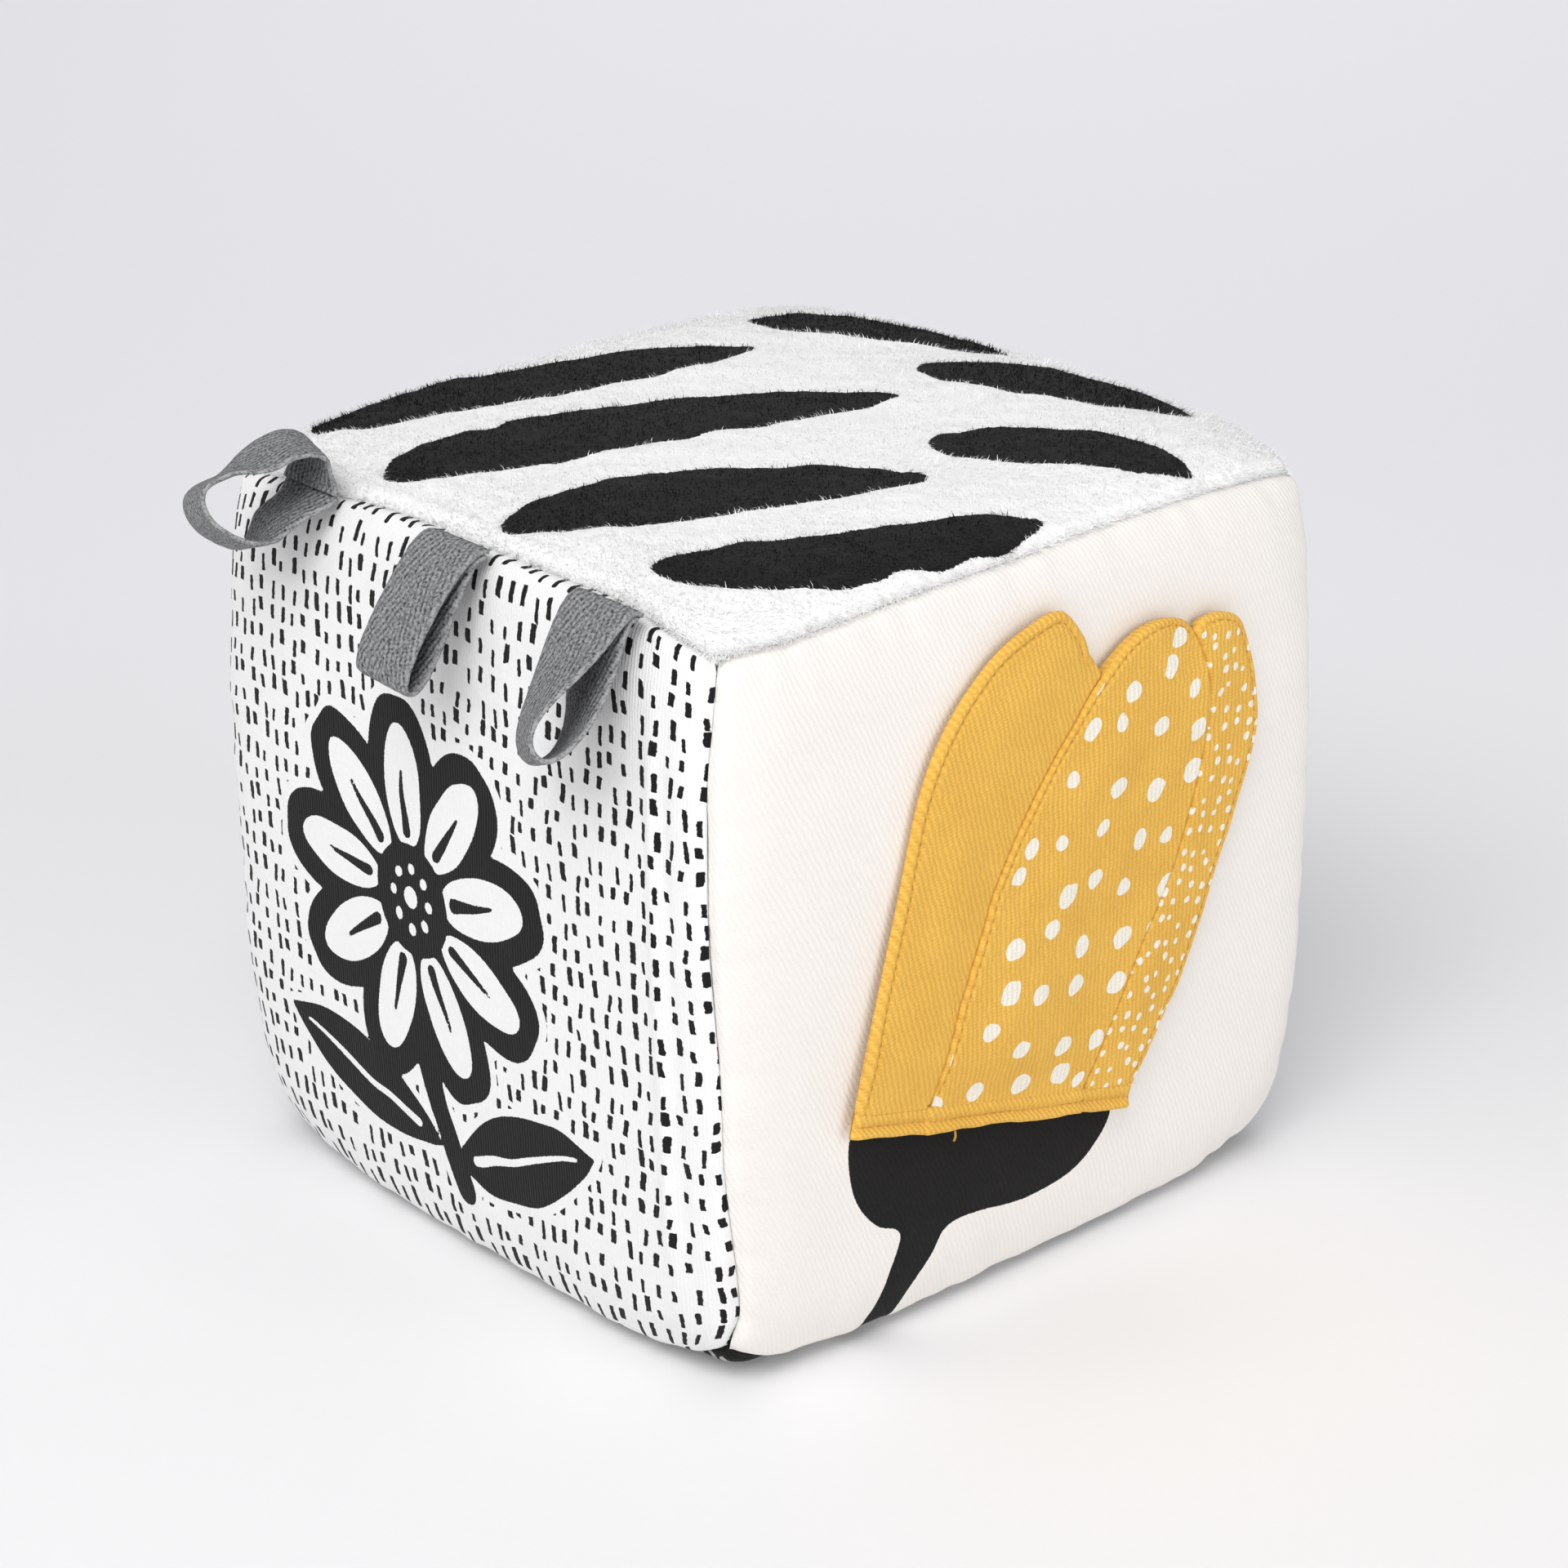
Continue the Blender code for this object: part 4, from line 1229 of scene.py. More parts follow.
# The pores are painted darker where the same pattern sinks them: a painted shade in their hollows.
wire(tree, shader.inputs["Base Color"], blend_colours(tree, pores, FOAM_DARK, FOAM_PALE))
bump(tree, shader, pores, 0.0004)
for half in ("lower", "upper"):
    node = "core_" + half
    source = frame["nodes"][node].data.copy()
    source.materials.clear()
    rough = bpy.data.objects.new(node + "_rough", source)
    bpy.context.scene.collection.objects.link(rough)
    remesh = rough.modifiers.new("even", "REMESH")
    remesh.mode = "VOXEL"
    remesh.voxel_size = FOAM_VOXEL
    evened = bpy.data.meshes.new_from_object(rough.evaluated_get(bpy.context.evaluated_depsgraph_get()))
    bpy.data.objects.remove(rough)
    cut = np.zeros(3 * len(evened.vertices))
    evened.vertices.foreach_get("co", cut)
    cut = cut.reshape(-1, 3)
    out = cut - cut.mean(0)
    out /= np.linalg.norm(out, axis=1, keepdims=True)
    pits = 1 + drift(cut[:, 0] + cut[:, 2], cut[:, 1] - cut[:, 2], 0.004, 161)
    cut -= FOAM_ROUGHNESS * pits[:, None] * out
    evened.vertices.foreach_set("co", cut.ravel())
    evened.shade_smooth()
    foam = place_piece("foam_" + half, evened, foam_finish, "foam", "block", node)

# Rattle
# A moulded capsule of two shells, snapped together at a lip, with loose beads in it.
# Nobody sees it, but a cut through the block shows its satin plastic.
def moulded(name, colour, shade, roughness):
    """Smooth moulded plastic with a faint mottle and handling marks."""
    made, tree, shader = finish_of(name, roughness)
    spot = add_node(tree, "TexCoord").outputs["Object"]
    mottle = noise(tree, spot, 0.004, 3.0)
    wire(tree, shader.inputs["Base Color"], blend_colours(tree, mottle, shade, colour))
    wire(tree, shader.inputs["Roughness"], maths(tree, "MULTIPLY_ADD", mottle, 0.12, roughness))
    bump(tree, shader, noise(tree, spot, 0.0006), 0.00002)
    return made


def refinish(node, finish):
    """Give a node that keeps its own shape its real finish."""
    data = frame["nodes"][node].data
    data.materials.clear()
    data.materials.append(finish)


capsule_plastic = moulded("capsule_plastic", srgb(228, 229, 231), srgb(216, 218, 222), 0.28)
bead_plastic = moulded("bead_plastic", srgb(124, 180, 219), srgb(108, 166, 208), 0.22)
for node in frame["nodes"]:
    if node.startswith("rattle_shell"):
        refinish(node, capsule_plastic)
    elif node.startswith("bead_"):
        refinish(node, bead_plastic)

# Tape loops
# Three loops of grey cotton twill tape. Each is folded in half and its ends are
# caught in the top front seam, so that it arches up out of it and then hangs.
TAPE_WIDTH = 0.0160
TAPE = 0.0011  # thickness in the model, which sets where the middle of the tape runs
TAPE_SHOWN = 0.0010
LOOP_ROOT = 0.0030  # stitched length before the two ends part
RIB = 0.00125
RIB_SLANT = math.radians(20)
SELVEDGE = 0.0010
# The left loop was pushed over. Its middle line, out from the seam and down.
PUSHED_LOOP = (
    (0.0006, 0.0000),
    (-0.0010, -0.0064),
    (0.0042, -0.0081),
    (0.0131, -0.0045),
    (0.0211, -0.0015),
    (0.0206, 0.0044),
    (0.0134, 0.0091),
    (0.0074, 0.0055),
    (0.0000, 0.0006),
)
# Of the others, the length, the width of the opening and how near the seam it is widest,
# and the length over which they arch from one angle off straight down to another.
HUNG_LOOPS = {
    "middle": (0.0285, 0.0034, 1.0, 0.0022, math.radians(118), math.radians(31)),
    "right": (0.0304, 0.0064, 0.88, 0.0016, math.radians(149), math.radians(26)),
}
# How far a loop turns aside and tilts, where the tilt begins and the length it takes.
LOOP_TURNS = {
    "left": (math.radians(19), math.radians(21), 0.0102, 0.0062),
    "middle": (math.radians(4), 0, 0, 0.0120),
    "right": (math.radians(29), math.radians(23), 0, 0.0287),
}
# The model's joints, by name, at which the loops and the flaps are placed.
joints = {joint["name"]: joint for joint in frame["joints"]}

tape_finish, tree, shader = finish_of("twill_tape", 0.92, **MATT)
flat = flat_place(tree)
axis = add_node(tree, "SeparateXYZ", {0: flat}).outputs
halves = maths(tree, "PINGPONG", axis["X"], TAPE_WIDTH / 2)
rib_place = add_node(tree, "CombineXYZ", {"X": halves, "Y": axis["Y"]}).outputs[0]
weave = use_group(tree, twill_weave, Flat=rib_place, Pitch=RIB, Slant=RIB_SLANT)
edge = maths(tree, "SUBTRACT", TAPE_WIDTH / 2, maths(tree, "ABSOLUTE", axis["X"]))
selvedge = maths(tree, "SUBTRACT", 1.0, step_up(tree, edge, 0.0003, SELVEDGE))
fleck = noise(tree, flat, 0.0006, 2.0, 0.7)
tone = maths(tree, "MULTIPLY_ADD", fleck, 2.6, -1.3)
# The tape is painted lighter on its raised ribs, a painted highlight that follows the weave's height, over
# its random grey flecks.
tone = maths(tree, "ADD", tone, maths(tree, "MULTIPLY_ADD", weave["Height"], 0.7, 0.15))
tone = maths(tree, "MULTIPLY_ADD", selvedge, 0.22, tone)
tone = add_node(tree, "Clamp", {0: tone}).outputs[0]
wire(tree, shader.inputs["Base Color"], blend_colours(tree, tone, srgb(56, 58, 61), srgb(166, 168, 169)))
bump(tree, shader, weave["Height"], 0.00040)


def travel(line):
    """How far along a line each of its points lies."""
    return np.concatenate([[0], np.cumsum(np.linalg.norm(np.diff(line, axis=0), axis=1))])


def side_of(line):
    """Directions to the right of a line at each of its points."""
    way = np.gradient(line, axis=0)
    way /= np.linalg.norm(way, axis=1, keepdims=True)
    return np.column_stack([way[:, 1], -way[:, 0]])


def tube_faces(rings, around, first=0):
    """Faces of a closed tube, given as rings of points, with a cap at each end."""
    number = first + np.arange(rings * around).reshape(rings, around)
    ahead = np.roll(number, -1, axis=1)
    sides = np.stack([number[:-1], ahead[:-1], ahead[1:], number[1:]], -1).reshape(-1, 4)
    return [*sides.tolist(), number[0, ::-1].tolist(), number[-1].tolist()]


LOOP_STEPS, TAPE_CELLS = 72, 16  # along a loop of tape and across it
TAPE_LUMPS, TAPE_FRAY = 0.00005, 0.00010


def tape_path(length, opening, fullness, arch, leave, end):
    """The tape's middle line, from the seam round the loop and back to the seam."""
    fine = np.linspace(0, length, 400)
    heading = end + (leave - end) * np.exp(-fine / arch)
    step = fine[1]
    out = np.concatenate([[0], np.cumsum(np.sin(heading[:-1])) * step])
    down = np.concatenate([[0], np.cumsum(np.cos(heading[:-1])) * step])

    def spine(distance):
        middle = np.array([np.interp(distance, fine, out), np.interp(distance, fine, down)])
        turn = np.interp(distance, fine, heading)
        return middle, np.array([math.cos(turn), -math.sin(turn)])

    hole_length = length - LOOP_ROOT - TAPE
    sewn, hole, back = [], [], []
    for share in (0, 0.25, 0.5, 0.75):
        middle, side = spine(share * LOOP_ROOT)
        sewn.append(middle + TAPE / 2 * side)
        back.insert(0, middle - TAPE / 2 * side)
    for turn in math.pi * np.arange(LOOP_STEPS + 1) / LOOP_STEPS:
        middle, side = spine(LOOP_ROOT + hole_length * math.sin(turn) ** fullness)
        hole.append(middle + opening / 2 * math.sin(2 * turn) * side)
    hole = np.array(hole)
    return np.concatenate([sewn, hole + TAPE / 2 * side_of(hole), back])


def tape_mesh(name, line, aside, tilt, start, reach):
    """A band of tape with thin selvedges, along a line of (out, down) points."""
    travelled = travel(line)
    shares = np.linspace(-1, 1, TAPE_CELLS + 1)
    section = [(s, 1) for s in shares] + [(s, -1) for s in shares[::-1]]
    points, flats, layout = [], [], []
    for spot, normal, far in zip(line, side_of(line), travelled, strict=True):
        yaw = aside * float(ease(math.hypot(*spot) / reach))
        roll = tilt * float(ease((math.hypot(*spot) - start) / reach))
        for share, face in section:
            thin = TAPE_SHOWN / 2 * (1 - 0.4 * abs(share) ** 12)
            lump = TAPE_LUMPS * float(ripple(far + 0.04 * share * face, 0.0012, 171))
            fray = TAPE_FRAY * float(ripple(far + 0.03 * share, 0.0013, 172)) * abs(share)
            out, down = spot + (face * thin + lump) * normal
            wide = share * (TAPE_WIDTH / 2 - 0.0001) + fray
            side_way = wide * math.cos(roll) + down * math.sin(roll)
            points.append(
                (
                    side_way * math.cos(yaw) - out * math.sin(yaw),
                    -out * math.cos(yaw) - side_way * math.sin(yaw),
                    wide * math.sin(roll) - down * math.cos(roll),
                )
            )
            flats.append((share * TAPE_WIDTH / 2, far, face * TAPE_SHOWN / 2))
            layout.append((share + 2.1 * face, far))
    mesh = bpy.data.meshes.new(name)
    mesh.from_pydata(points, [], tube_faces(len(line), len(section)))
    mesh.shade_smooth()
    remember(mesh, "flat", flats)
    lay_out(mesh, np.array(layout))
    return mesh, float(travelled[-1])


for name, turns in LOOP_TURNS.items():
    node = "loop_" + name
    if name in HUNG_LOOPS:
        line = tape_path(*HUNG_LOOPS[name])
    else:
        line = smooth_line(np.array(PUSHED_LOOP))
    mesh, tape_length = tape_mesh(node + "_tape", line, *turns)
    at = joints[node + "_bend"]["pos_m"]
    made = place_piece(node + "_tape", mesh, tape_finish, "grey_tape", "tape_" + name, node, at=at)
    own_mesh(made)

# Flaps
# Three petals of yellow twill. Each is two cloths sewn right sides together round a
# crinkle film, turned and topstitched. The hem holds all three to the right panel.
HEM_LENGTH = 0.0704
FLAP_LENGTH = 0.0896
FLAP_DEPTH = 0.0025  # through both cloths and the film
# Petal outlines, clockwise from the hem's left end, in hem lengths along the fold
# from its middle and in flap lengths up from it, as in the model.
MIDDLE_PETAL = (
    (-0.251, 0.000),
    (-0.227, 0.179),
    (-0.205, 0.325),
    (-0.175, 0.480),
    (-0.114, 0.625),
    (-0.028, 0.762),
    (0.065, 0.877),
    (0.163, 0.955),
    (0.277, 0.987),
    (0.374, 0.962),
    (0.470, 0.838),
    (0.493, 0.681),
    (0.472, 0.483),
    (0.402, 0.296),
    (0.311, 0.000),
)
LEFT_PETAL = (
    (-0.500, 0.000),
    (-0.496, 0.212),
    (-0.490, 0.446),
    (-0.483, 0.647),
    (-0.433, 0.781),
    (-0.330, 0.901),
    (-0.220, 0.969),
    (-0.122, 1.000),
    (-0.037, 0.958),
    (0.007, 0.915),
)
RIGHT_PETAL = (
    (0.412, 0.989),
    (0.479, 1.000),
    (0.563, 0.978),
    (0.648, 0.875),
    (0.702, 0.753),
    (0.695, 0.625),
    (0.661, 0.458),
    (0.621, 0.251),
    (0.510, 0.000),
)
MEETS_LEFT, MEETS_RIGHT = 6, 9  # points of the middle petal up to which its neighbours run
EDGE_STEP = 0.0008  # between the points of a petal's outline
PETAL_GAP = 0.0001
hem_way = np.array(joints["flap_middle_fold"]["axis"])
flap_up = np.array([0, -hem_way[2], hem_way[1]])
flap_out = np.array([1.0, 0, 0])
flap_place = np.array(joints["flap_middle_fold"]["pos_m"])


def petal_lines(name):
    """A petal's own edge and the edge that it shares, in metres, in the flaps' frame."""
    size = np.array([HEM_LENGTH, FLAP_LENGTH])
    middle = smooth_line(MIDDLE_PETAL) * size
    if name == "left":
        shared = middle[: MEETS_LEFT * CURVE_STEPS + 1][::-1]
        return smooth_line(LEFT_PETAL) * size, shared - (PETAL_GAP, 0)
    shared = middle[MEETS_RIGHT * CURVE_STEPS :]
    if name == "right":
        return smooth_line(RIGHT_PETAL) * size, shared[::-1] + (PETAL_GAP, 0)
    return middle[: MEETS_RIGHT * CURVE_STEPS + 1], shared


def even_line(points, spacing):
    """Points at an even spacing along a line."""
    far = travel(points)
    wanted = np.linspace(0, far[-1], max(int(far[-1] / spacing), 2) + 1)
    return np.column_stack([np.interp(wanted, far, points[:, k]) for k in (0, 1)])


def inward_of(edge):
    """Directions into a clockwise outline at each of its points."""
    way = np.roll(edge, -1, axis=0) - np.roll(edge, 1, axis=0)
    way /= np.linalg.norm(way, axis=1, keepdims=True)
    return np.column_stack([way[:, 1], -way[:, 0]])


def petal_cut(edge, rings, spacing):
    """A petal as flat cloth: its points and triangles."""
    inward = inward_of(edge)
    points = [edge]
    for depth in rings:
        ring = edge + depth * inward
        points.append(ring[(from_line(ring, closed(edge)) > depth * 0.97) & inside(ring, edge)])
    low, high = edge.min(0), edge.max(0)
    xs = np.arange(low[0], high[0], spacing)
    ys = np.arange(low[1], high[1], spacing * math.sqrt(3) / 2)
    grid = np.stack(np.meshgrid(xs, ys, indexing="ij"), -1)
    grid[:, 1::2, 0] += spacing / 2
    grid = grid.reshape(-1, 2)
    clear = from_line(grid, closed(edge)) > max(rings, default=0) + spacing * 0.6
    points.append(grid[clear & inside(grid, edge)])
    loop = [(k, (k + 1) % len(edge)) for k in range(len(edge))]
    found = geometry.delaunay_2d_cdt([Vector(p) for p in np.concatenate(points)], loop, [], 1, 1e-7)
    flat = np.array([tuple(p) for p in found[0]])
    return flat, found[2]


def flap_mesh(name, flat, heights, faces):
    """A mesh over the flaps' plane, from flat places and their heights off it."""
    points = flap_place + np.column_stack([flat, heights]) @ np.array([hem_way, flap_up, flap_out])
    mesh = bpy.data.meshes.new(name)
    mesh.from_pydata(points, [], faces)
    mesh.shade_smooth()
    return mesh


# From a flap's own edge to its topstitching.
STITCH_LINES = {"left": 0.0019, "middle": 0.0012, "right": 0.0013}
PETAL_RINGS = (0.0003, 0.0007, 0.0010, 0.0013, 0.0016, 0.0019, 0.0022, 0.0026, 0.0032)
FOLDED_EDGE = 0.0013  # radius of a turned and stitched edge
CUT_EDGE = 0.0002  # and of one that lies against the next flap
STITCH_DIP, DIP_WIDTH = 0.00045, 0.0004  # how the topstitching pulls the cloth in
FLAP_SWELL = 0.0006  # how far the film lifts a flap's middle
HELD_LENGTH = 0.010  # length of a flap over which the hem still holds it down
MIDDLE_LIFT = 0.0014  # the middle flap's left edge lies on top of the left flap


def rounded(depth, radius):
    """Share of its full height that an edge has at a depth from its outline."""
    return np.sqrt(np.clip(1 - (1 - np.minimum(depth / radius, 1)) ** 2, 0, 1))


class Petal:
    """The lines of a flap, and the heights of its two cloths over its flat places."""

    def __init__(self, name):
        self.name = name
        self.own, self.shared = petal_lines(name)
        parts = (self.shared, self.own) if name == "right" else (self.own, self.shared)
        self.outline = np.concatenate(parts)
        self.edge = even_line(closed(self.outline), EDGE_STEP)[:-1]

    def measure(self, flat):
        """How much of the full thickness the edges leave, and the depth from the own edge."""
        depth, beside = from_line(flat, self.own), from_line(flat, self.shared)
        full = np.minimum(rounded(depth, FOLDED_EDGE), rounded(beside, CUT_EDGE))
        # Along the fold the front cloth runs on into the hem, and has no edge.
        full[(from_line(flat, closed(self.edge)) < 1e-6) & (flat[:, 1] > 1e-5)] = 0
        return full, depth

    def face(self, flat):
        """Height of the front cloth: a rolled edge, a stitched dip and a soft middle."""
        full, depth = self.measure(flat)
        free = ease(flat[:, 1] / HELD_LENGTH)
        dip = STITCH_DIP * np.exp(-(((depth - STITCH_LINES[self.name]) / DIP_WIDTH) ** 2))
        swell = FLAP_SWELL * ease((depth - 0.002) / 0.010)
        soft = 0.0003 * drift(flat[:, 0], flat[:, 1], 0.013, 181)
        soft = soft + 0.00016 * drift(flat[:, 0], flat[:, 1], 0.005, 182)
        lift = np.zeros(len(flat))
        if self.name == "middle":
            lift += MIDDLE_LIFT * ease(from_line(flat, self.shared) / 0.030)
        return FLAP_DEPTH / 2 * (full - 1) - dip + (swell + lift + soft) * free - 0.0002 * (1 - free)

    def lining(self, flat):
        """Height of the back cloth, which meets the front one all round."""
        full, _ = self.measure(flat)
        front = self.face(flat)
        back = -FLAP_DEPTH / 2 * (1 + full) + 0.0002 * full * drift(flat[:, 0], flat[:, 1], 0.009, 183)
        return front + (back - front) * np.minimum(full / 0.05, 1) * rounded(flat[:, 1], 0.0015)


# YELLOW_SHADE is painted shade in the valleys of the yellow twill's wales.
YELLOW, YELLOW_SHADE = srgb(252, 204, 98), srgb(214, 158, 62)
SPOT_WHITE = srgb(248, 243, 230)


def yellow_finish(name, slant, spots=None):
    """Yellow twill, plain or with white spots, which stop short of the flap's own edge."""
    made, tree, shader, flat, weave, cloth = woven_finish(
        name, 0.9, 0.0011, slant, YELLOW_SHADE, YELLOW
    )
    if spots:
        mask = use_group(tree, printed_spots, Flat=flat, **spots)["Mask"]
        depth = add_node(tree, "SeparateXYZ", {0: flat}).outputs["Z"]
        mask = maths(tree, "MULTIPLY", mask, step_up(tree, depth, 0.0004, 0.0006))
        cloth = blend_colours(tree, mask, cloth, SPOT_WHITE)
    wire(tree, shader.inputs["Base Color"], cloth)
    bump(tree, shader, weave["Height"], 0.00030)
    return made


PLAIN_SLANT, PRINTED_SLANT = math.radians(-28), math.radians(-14.5)
LARGE_SPOTS = {"Pitch": 0.0094, "Size": 0.0036, "Looseness": 0.52, "Lumps": 300.0}
SMALL_SPOTS = {"Pitch": 0.0034, "Size": 0.00125, "Looseness": 0.6, "Lumps": 900.0}
FLAP_FINISHES = {
    "left": yellow_finish("yellow_twill_left", PLAIN_SLANT),
    "middle": yellow_finish("yellow_twill_spotted", PRINTED_SLANT, LARGE_SPOTS),
    "right": yellow_finish("yellow_twill_dotted", PRINTED_SLANT, SMALL_SPOTS),
}
lining_finish = yellow_finish("yellow_twill_lining", PLAIN_SLANT)
THREAD_YELLOW, THREAD_SHADE = srgb(212, 160, 76), srgb(178, 124, 44)
thread_finish, tree, shader = finish_of("yellow_thread", 0.7)
spot = add_node(tree, "TexCoord").outputs["Object"]
thread_tone = blend_colours(tree, noise(tree, spot, 0.0006), THREAD_SHADE, THREAD_YELLOW)
wire(tree, shader.inputs["Base Color"], thread_tone)
bump(tree, shader, noise(tree, spot, 0.0002), 0.00004)

FILM_PALE, FILM_SHADE = srgb(236, 238, 240), srgb(206, 210, 214)
film_finish, tree, shader = finish_of("crinkle_film", 0.2)
spot = add_node(tree, "TexCoord").outputs["Object"]
film_tone = blend_colours(tree, noise(tree, spot, 0.004), FILM_SHADE, FILM_PALE)
wire(tree, shader.inputs["Base Color"], film_tone)
bump(tree, shader, noise(tree, spot, 0.0009, 3.0), 0.0002)

STITCH = 0.0016
STITCH_PITCH = 0.0020
THREAD = 0.00017  # radius of the thread
THREAD_SIDES = 6
# Along a stitch, shares of its length and how thick it is there.
STITCH_RINGS = ((0.0, 0.25), (0.12, 0.8), (0.5, 1.0), (0.88, 0.8), (1.0, 0.25))
STITCH_SINK = 0.0003  # depth to which its ends go into the cloth


def stitches(name, line, heights, body):
    """Topstitching: short lengths of thread laid end to end along a line on the flaps."""
    far = travel(line)
    chance = np.random.default_rng(191)

    def on_line(distance):
        return np.array([np.interp(distance, far, line[:, k]) for k in (0, 1)])

    points, faces = [], []
    for start in np.arange(0.0006, far[-1] - STITCH, STITCH_PITCH):
        start += chance.normal(0, 0.0001)
        faces += tube_faces(len(STITCH_RINGS), THREAD_SIDES, len(points))
        for share, thick in STITCH_RINGS:
            at = start + share * STITCH
            spot = on_line(at)
            ahead = on_line(at + 1e-4) - spot
            aside = np.array([-ahead[1], ahead[0]]) / max(np.linalg.norm(ahead), 1e-9)
            high = np.interp(at, far, heights) + THREAD * 0.4 - STITCH_SINK * (2 * share - 1) ** 2
            for turn in math.tau * np.arange(THREAD_SIDES) / THREAD_SIDES:
                flat = spot + aside * math.cos(turn) * THREAD * thick
                points.append((*flat, high + math.sin(turn) * THREAD * thick))
    points = np.array(points)
    mesh = flap_mesh(name, points[:, :2], points[:, 2], faces)
    return place_piece(name, mesh, thread_finish, "yellow_twill", body)


def petal_piece(petal, ending, node_ending, cut, heights, finish, slot="yellow_twill"):
    """One cloth of a flap as a piece of its own, from its flat points and its faces."""
    flat, faces = cut
    body = "flap_" + petal.name
    mesh = flap_mesh(body + ending, flat, heights, faces)
    remember(mesh, "flat", np.column_stack([flat, from_line(flat, petal.own)]))
    lay_out(mesh, flat)
    return place_piece(body + ending, mesh, finish, slot, body, body + node_ending)


CLOTH_CELL, FILM_CELL = 0.0011, 0.0022
FILM_INSET = 0.0034  # from a flap's outline to the edge of its film
FILM_DEPTH, FILM_CRINKLE = 0.00125, 0.0002

for name in ("left", "middle", "right"):
    petal = Petal(name)
    body = "flap_" + name
    flat, faces = petal_cut(petal.edge, PETAL_RINGS, CLOTH_CELL)
    turned = [face[::-1] for face in faces]
    cloth = petal_piece(
        petal, "_face", "_front", (flat, turned), petal.face(flat), FLAP_FINISHES[name]
    )
    lining = petal_piece(
        petal, "_lining", "_back", (flat, faces), petal.lining(flat), lining_finish
    )
    own = even_line(petal.own, EDGE_STEP)
    inset = STITCH_LINES[name]
    seam = own + inset * side_of(own)
    clear = from_line(seam, petal.own) > inset * 0.98
    seam = seam[clear & (from_line(seam, petal.shared) > EDGE_STEP) & (seam[:, 1] > 0.001)]
    sewing = stitches(body + "_stitches", seam, petal.face(seam), body)
    film_edge = petal.edge + FILM_INSET * inward_of(petal.edge)
    clear = from_line(film_edge, closed(petal.edge)) > FILM_INSET - 0.0001
    film_edge = film_edge[clear & inside(film_edge, petal.edge)]
    film_edge = even_line(closed(film_edge), 0.0020)[:-1]
    flat, faces = petal_cut(film_edge, (), FILM_CELL)
    crinkle = FILM_CRINKLE * np.random.default_rng(201).uniform(-1, 1, len(flat)) - FILM_DEPTH
    turned = [face[::-1] for face in faces]
    film = petal_piece(
        petal, "_crinkle", "_film", (flat, turned), crinkle, film_finish, "crinkle_film"
    )
    film.data.shade_flat()

# Hem
# The flaps' raw ends are turned under together and stitched down along a slanting
# line. The turned edge sags a little between stitches, and one thread end is loose.
HEM_HEIGHT = 0.0044
HEM_STITCH = 0.0024  # below the fold
HEM_SAG, HEM_WAVES = 0.0004, 0.0003
HEM_LIFT = 0.0005  # over the middle flap, which lies on top of the left one
# Down the front of the hem, round its turned edge and back up behind it.
HEM_SECTION = (
    (0.0002, -0.0003),
    (-0.0007, -0.0002),
    (-0.0014, -0.0002),
    (-0.0020, -0.0005),
    (-0.0024, -0.0009),
    (-0.0027, -0.0006),
    (-0.0031, 0.0000),
    (-0.0036, 0.0003),
    (-0.0041, 0.0001),
    (-0.0044, -0.0005),
    (-0.0045, -0.0013),
    (-0.0041, -0.0021),
    (-0.0030, -0.0026),
    (-0.0010, -0.0027),
    (0.0002, -0.0027),
)
HEM_ENDS = (-0.501, 0.511)  # in hem lengths from the middle of the fold
section = np.array(HEM_SECTION)
section_run = travel(section)
along = np.linspace(*HEM_ENDS, 120)
hem_x = along * HEM_LENGTH
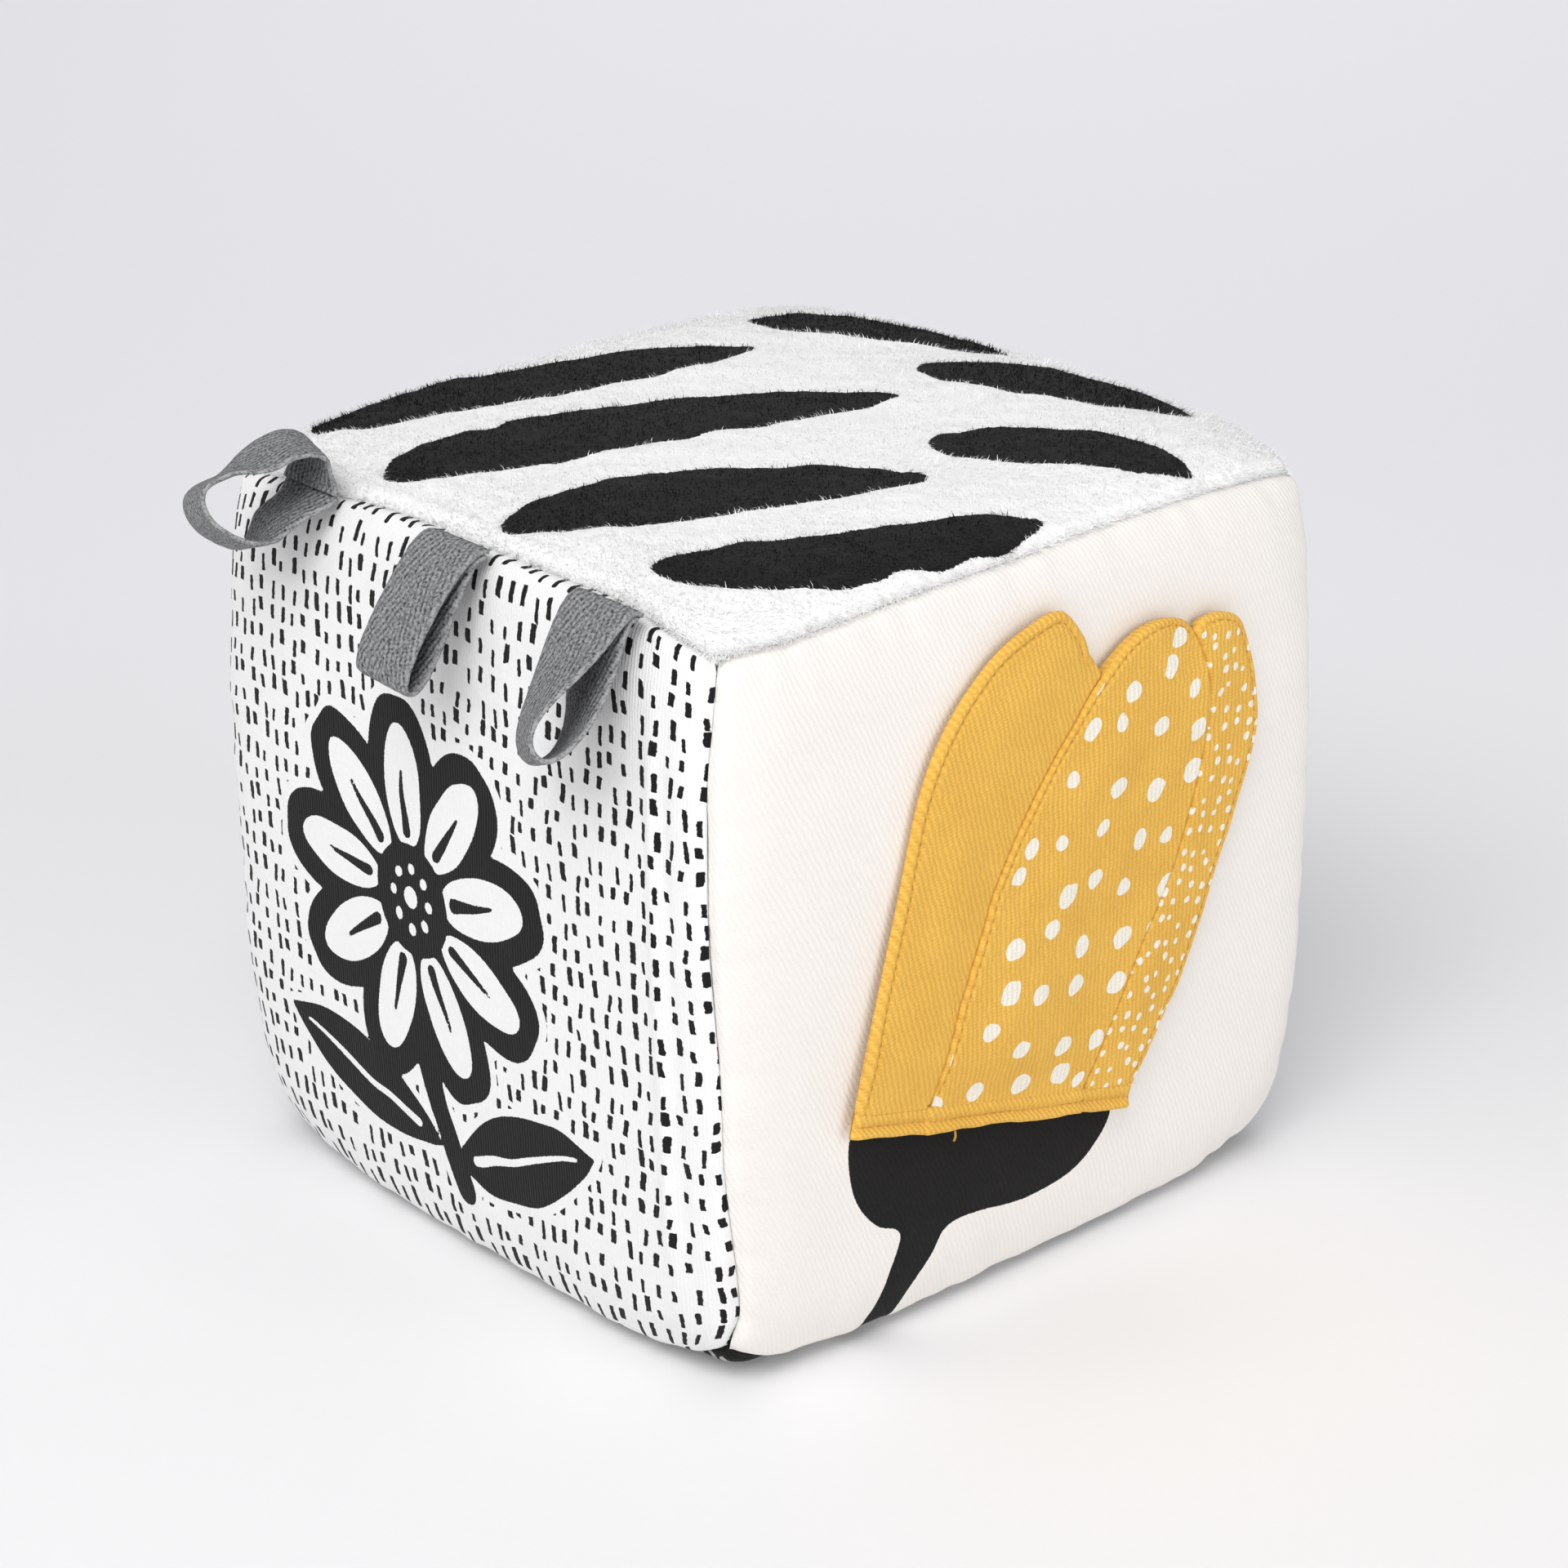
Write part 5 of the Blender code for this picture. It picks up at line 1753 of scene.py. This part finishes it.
# Where the middle flap's thickness lies under the hem.
middle_flap = ease((along + 0.257) / 0.012) * ease((0.317 - along) / 0.012)
points, flats = [], []
for x, over in zip(hem_x, middle_flap, strict=True):
    waves = float(ripple(x, 0.004, 211) + ripple(x, 0.010, 212))
    sag = HEM_SAG * (1 - (2 * x / HEM_LENGTH) ** 2) + HEM_WAVES * waves
    full = min(1, 1 - 0.8 * max(0, abs(x / HEM_LENGTH - 0.005) - 0.49) / 0.016)
    for (up, out), run in zip(section, section_run, strict=True):
        lift = HEM_LIFT * over * (out > -0.0012) * ease(-up / 0.0012)
        height = -0.0014 + (out + 0.0014) * full + lift
        points.append((x, up - sag * ease(-up / HEM_HEIGHT), height))
        flats.append((x, -run, 0.004))
points, flats = np.array(points), np.array(flats)
faces = tube_faces(len(hem_x), len(section))
mesh = flap_mesh("hem_fold", points[:, :2], points[:, 2], faces)
remember(mesh, "flat", flats)
lay_out(mesh, flats[:, :2] * (1, 5))
hem_finish = yellow_finish("yellow_twill_hem", PLAIN_SLANT)
place_piece("hem_fold", mesh, hem_finish, "yellow_twill", "block", "flap_hem")
hem_line = np.column_stack([np.linspace(-0.49, 0.50, 60) * HEM_LENGTH, np.full(60, -HEM_STITCH)])
hem_height = -0.0009 + HEM_LIFT * np.interp(hem_line[:, 0], hem_x, middle_flap)
stitches("hem_stitches", hem_line, hem_height, "block")

# A loose end of the thread hangs out from under the hem.
LOOSE_END = (
    (-0.1545, -0.0040, -0.0006),
    (-0.1545, -0.0047, 0.0004),
    (-0.1530, -0.0056, 0.0006),
    (-0.1510, -0.0066, 0.0003),
)
LOOSE_RINGS = 13
knots = np.array(LOOSE_END) * (HEM_LENGTH, 1, 1)
points = []
for share in np.linspace(0, len(knots) - 1, LOOSE_RINGS):
    spot = np.array([np.interp(share, range(len(knots)), knots[:, axis]) for axis in range(3)])
    for turn in np.arange(THREAD_SIDES) * math.tau / THREAD_SIDES:
        points.append(spot + THREAD * 1.3 * np.array([math.cos(turn), 0, math.sin(turn)]))
points = np.array(points)
faces = tube_faces(LOOSE_RINGS, THREAD_SIDES)
mesh = flap_mesh("loose_thread", points[:, :2], points[:, 2], faces)
place_piece("loose_thread", mesh, thread_finish, "yellow_twill", "block")
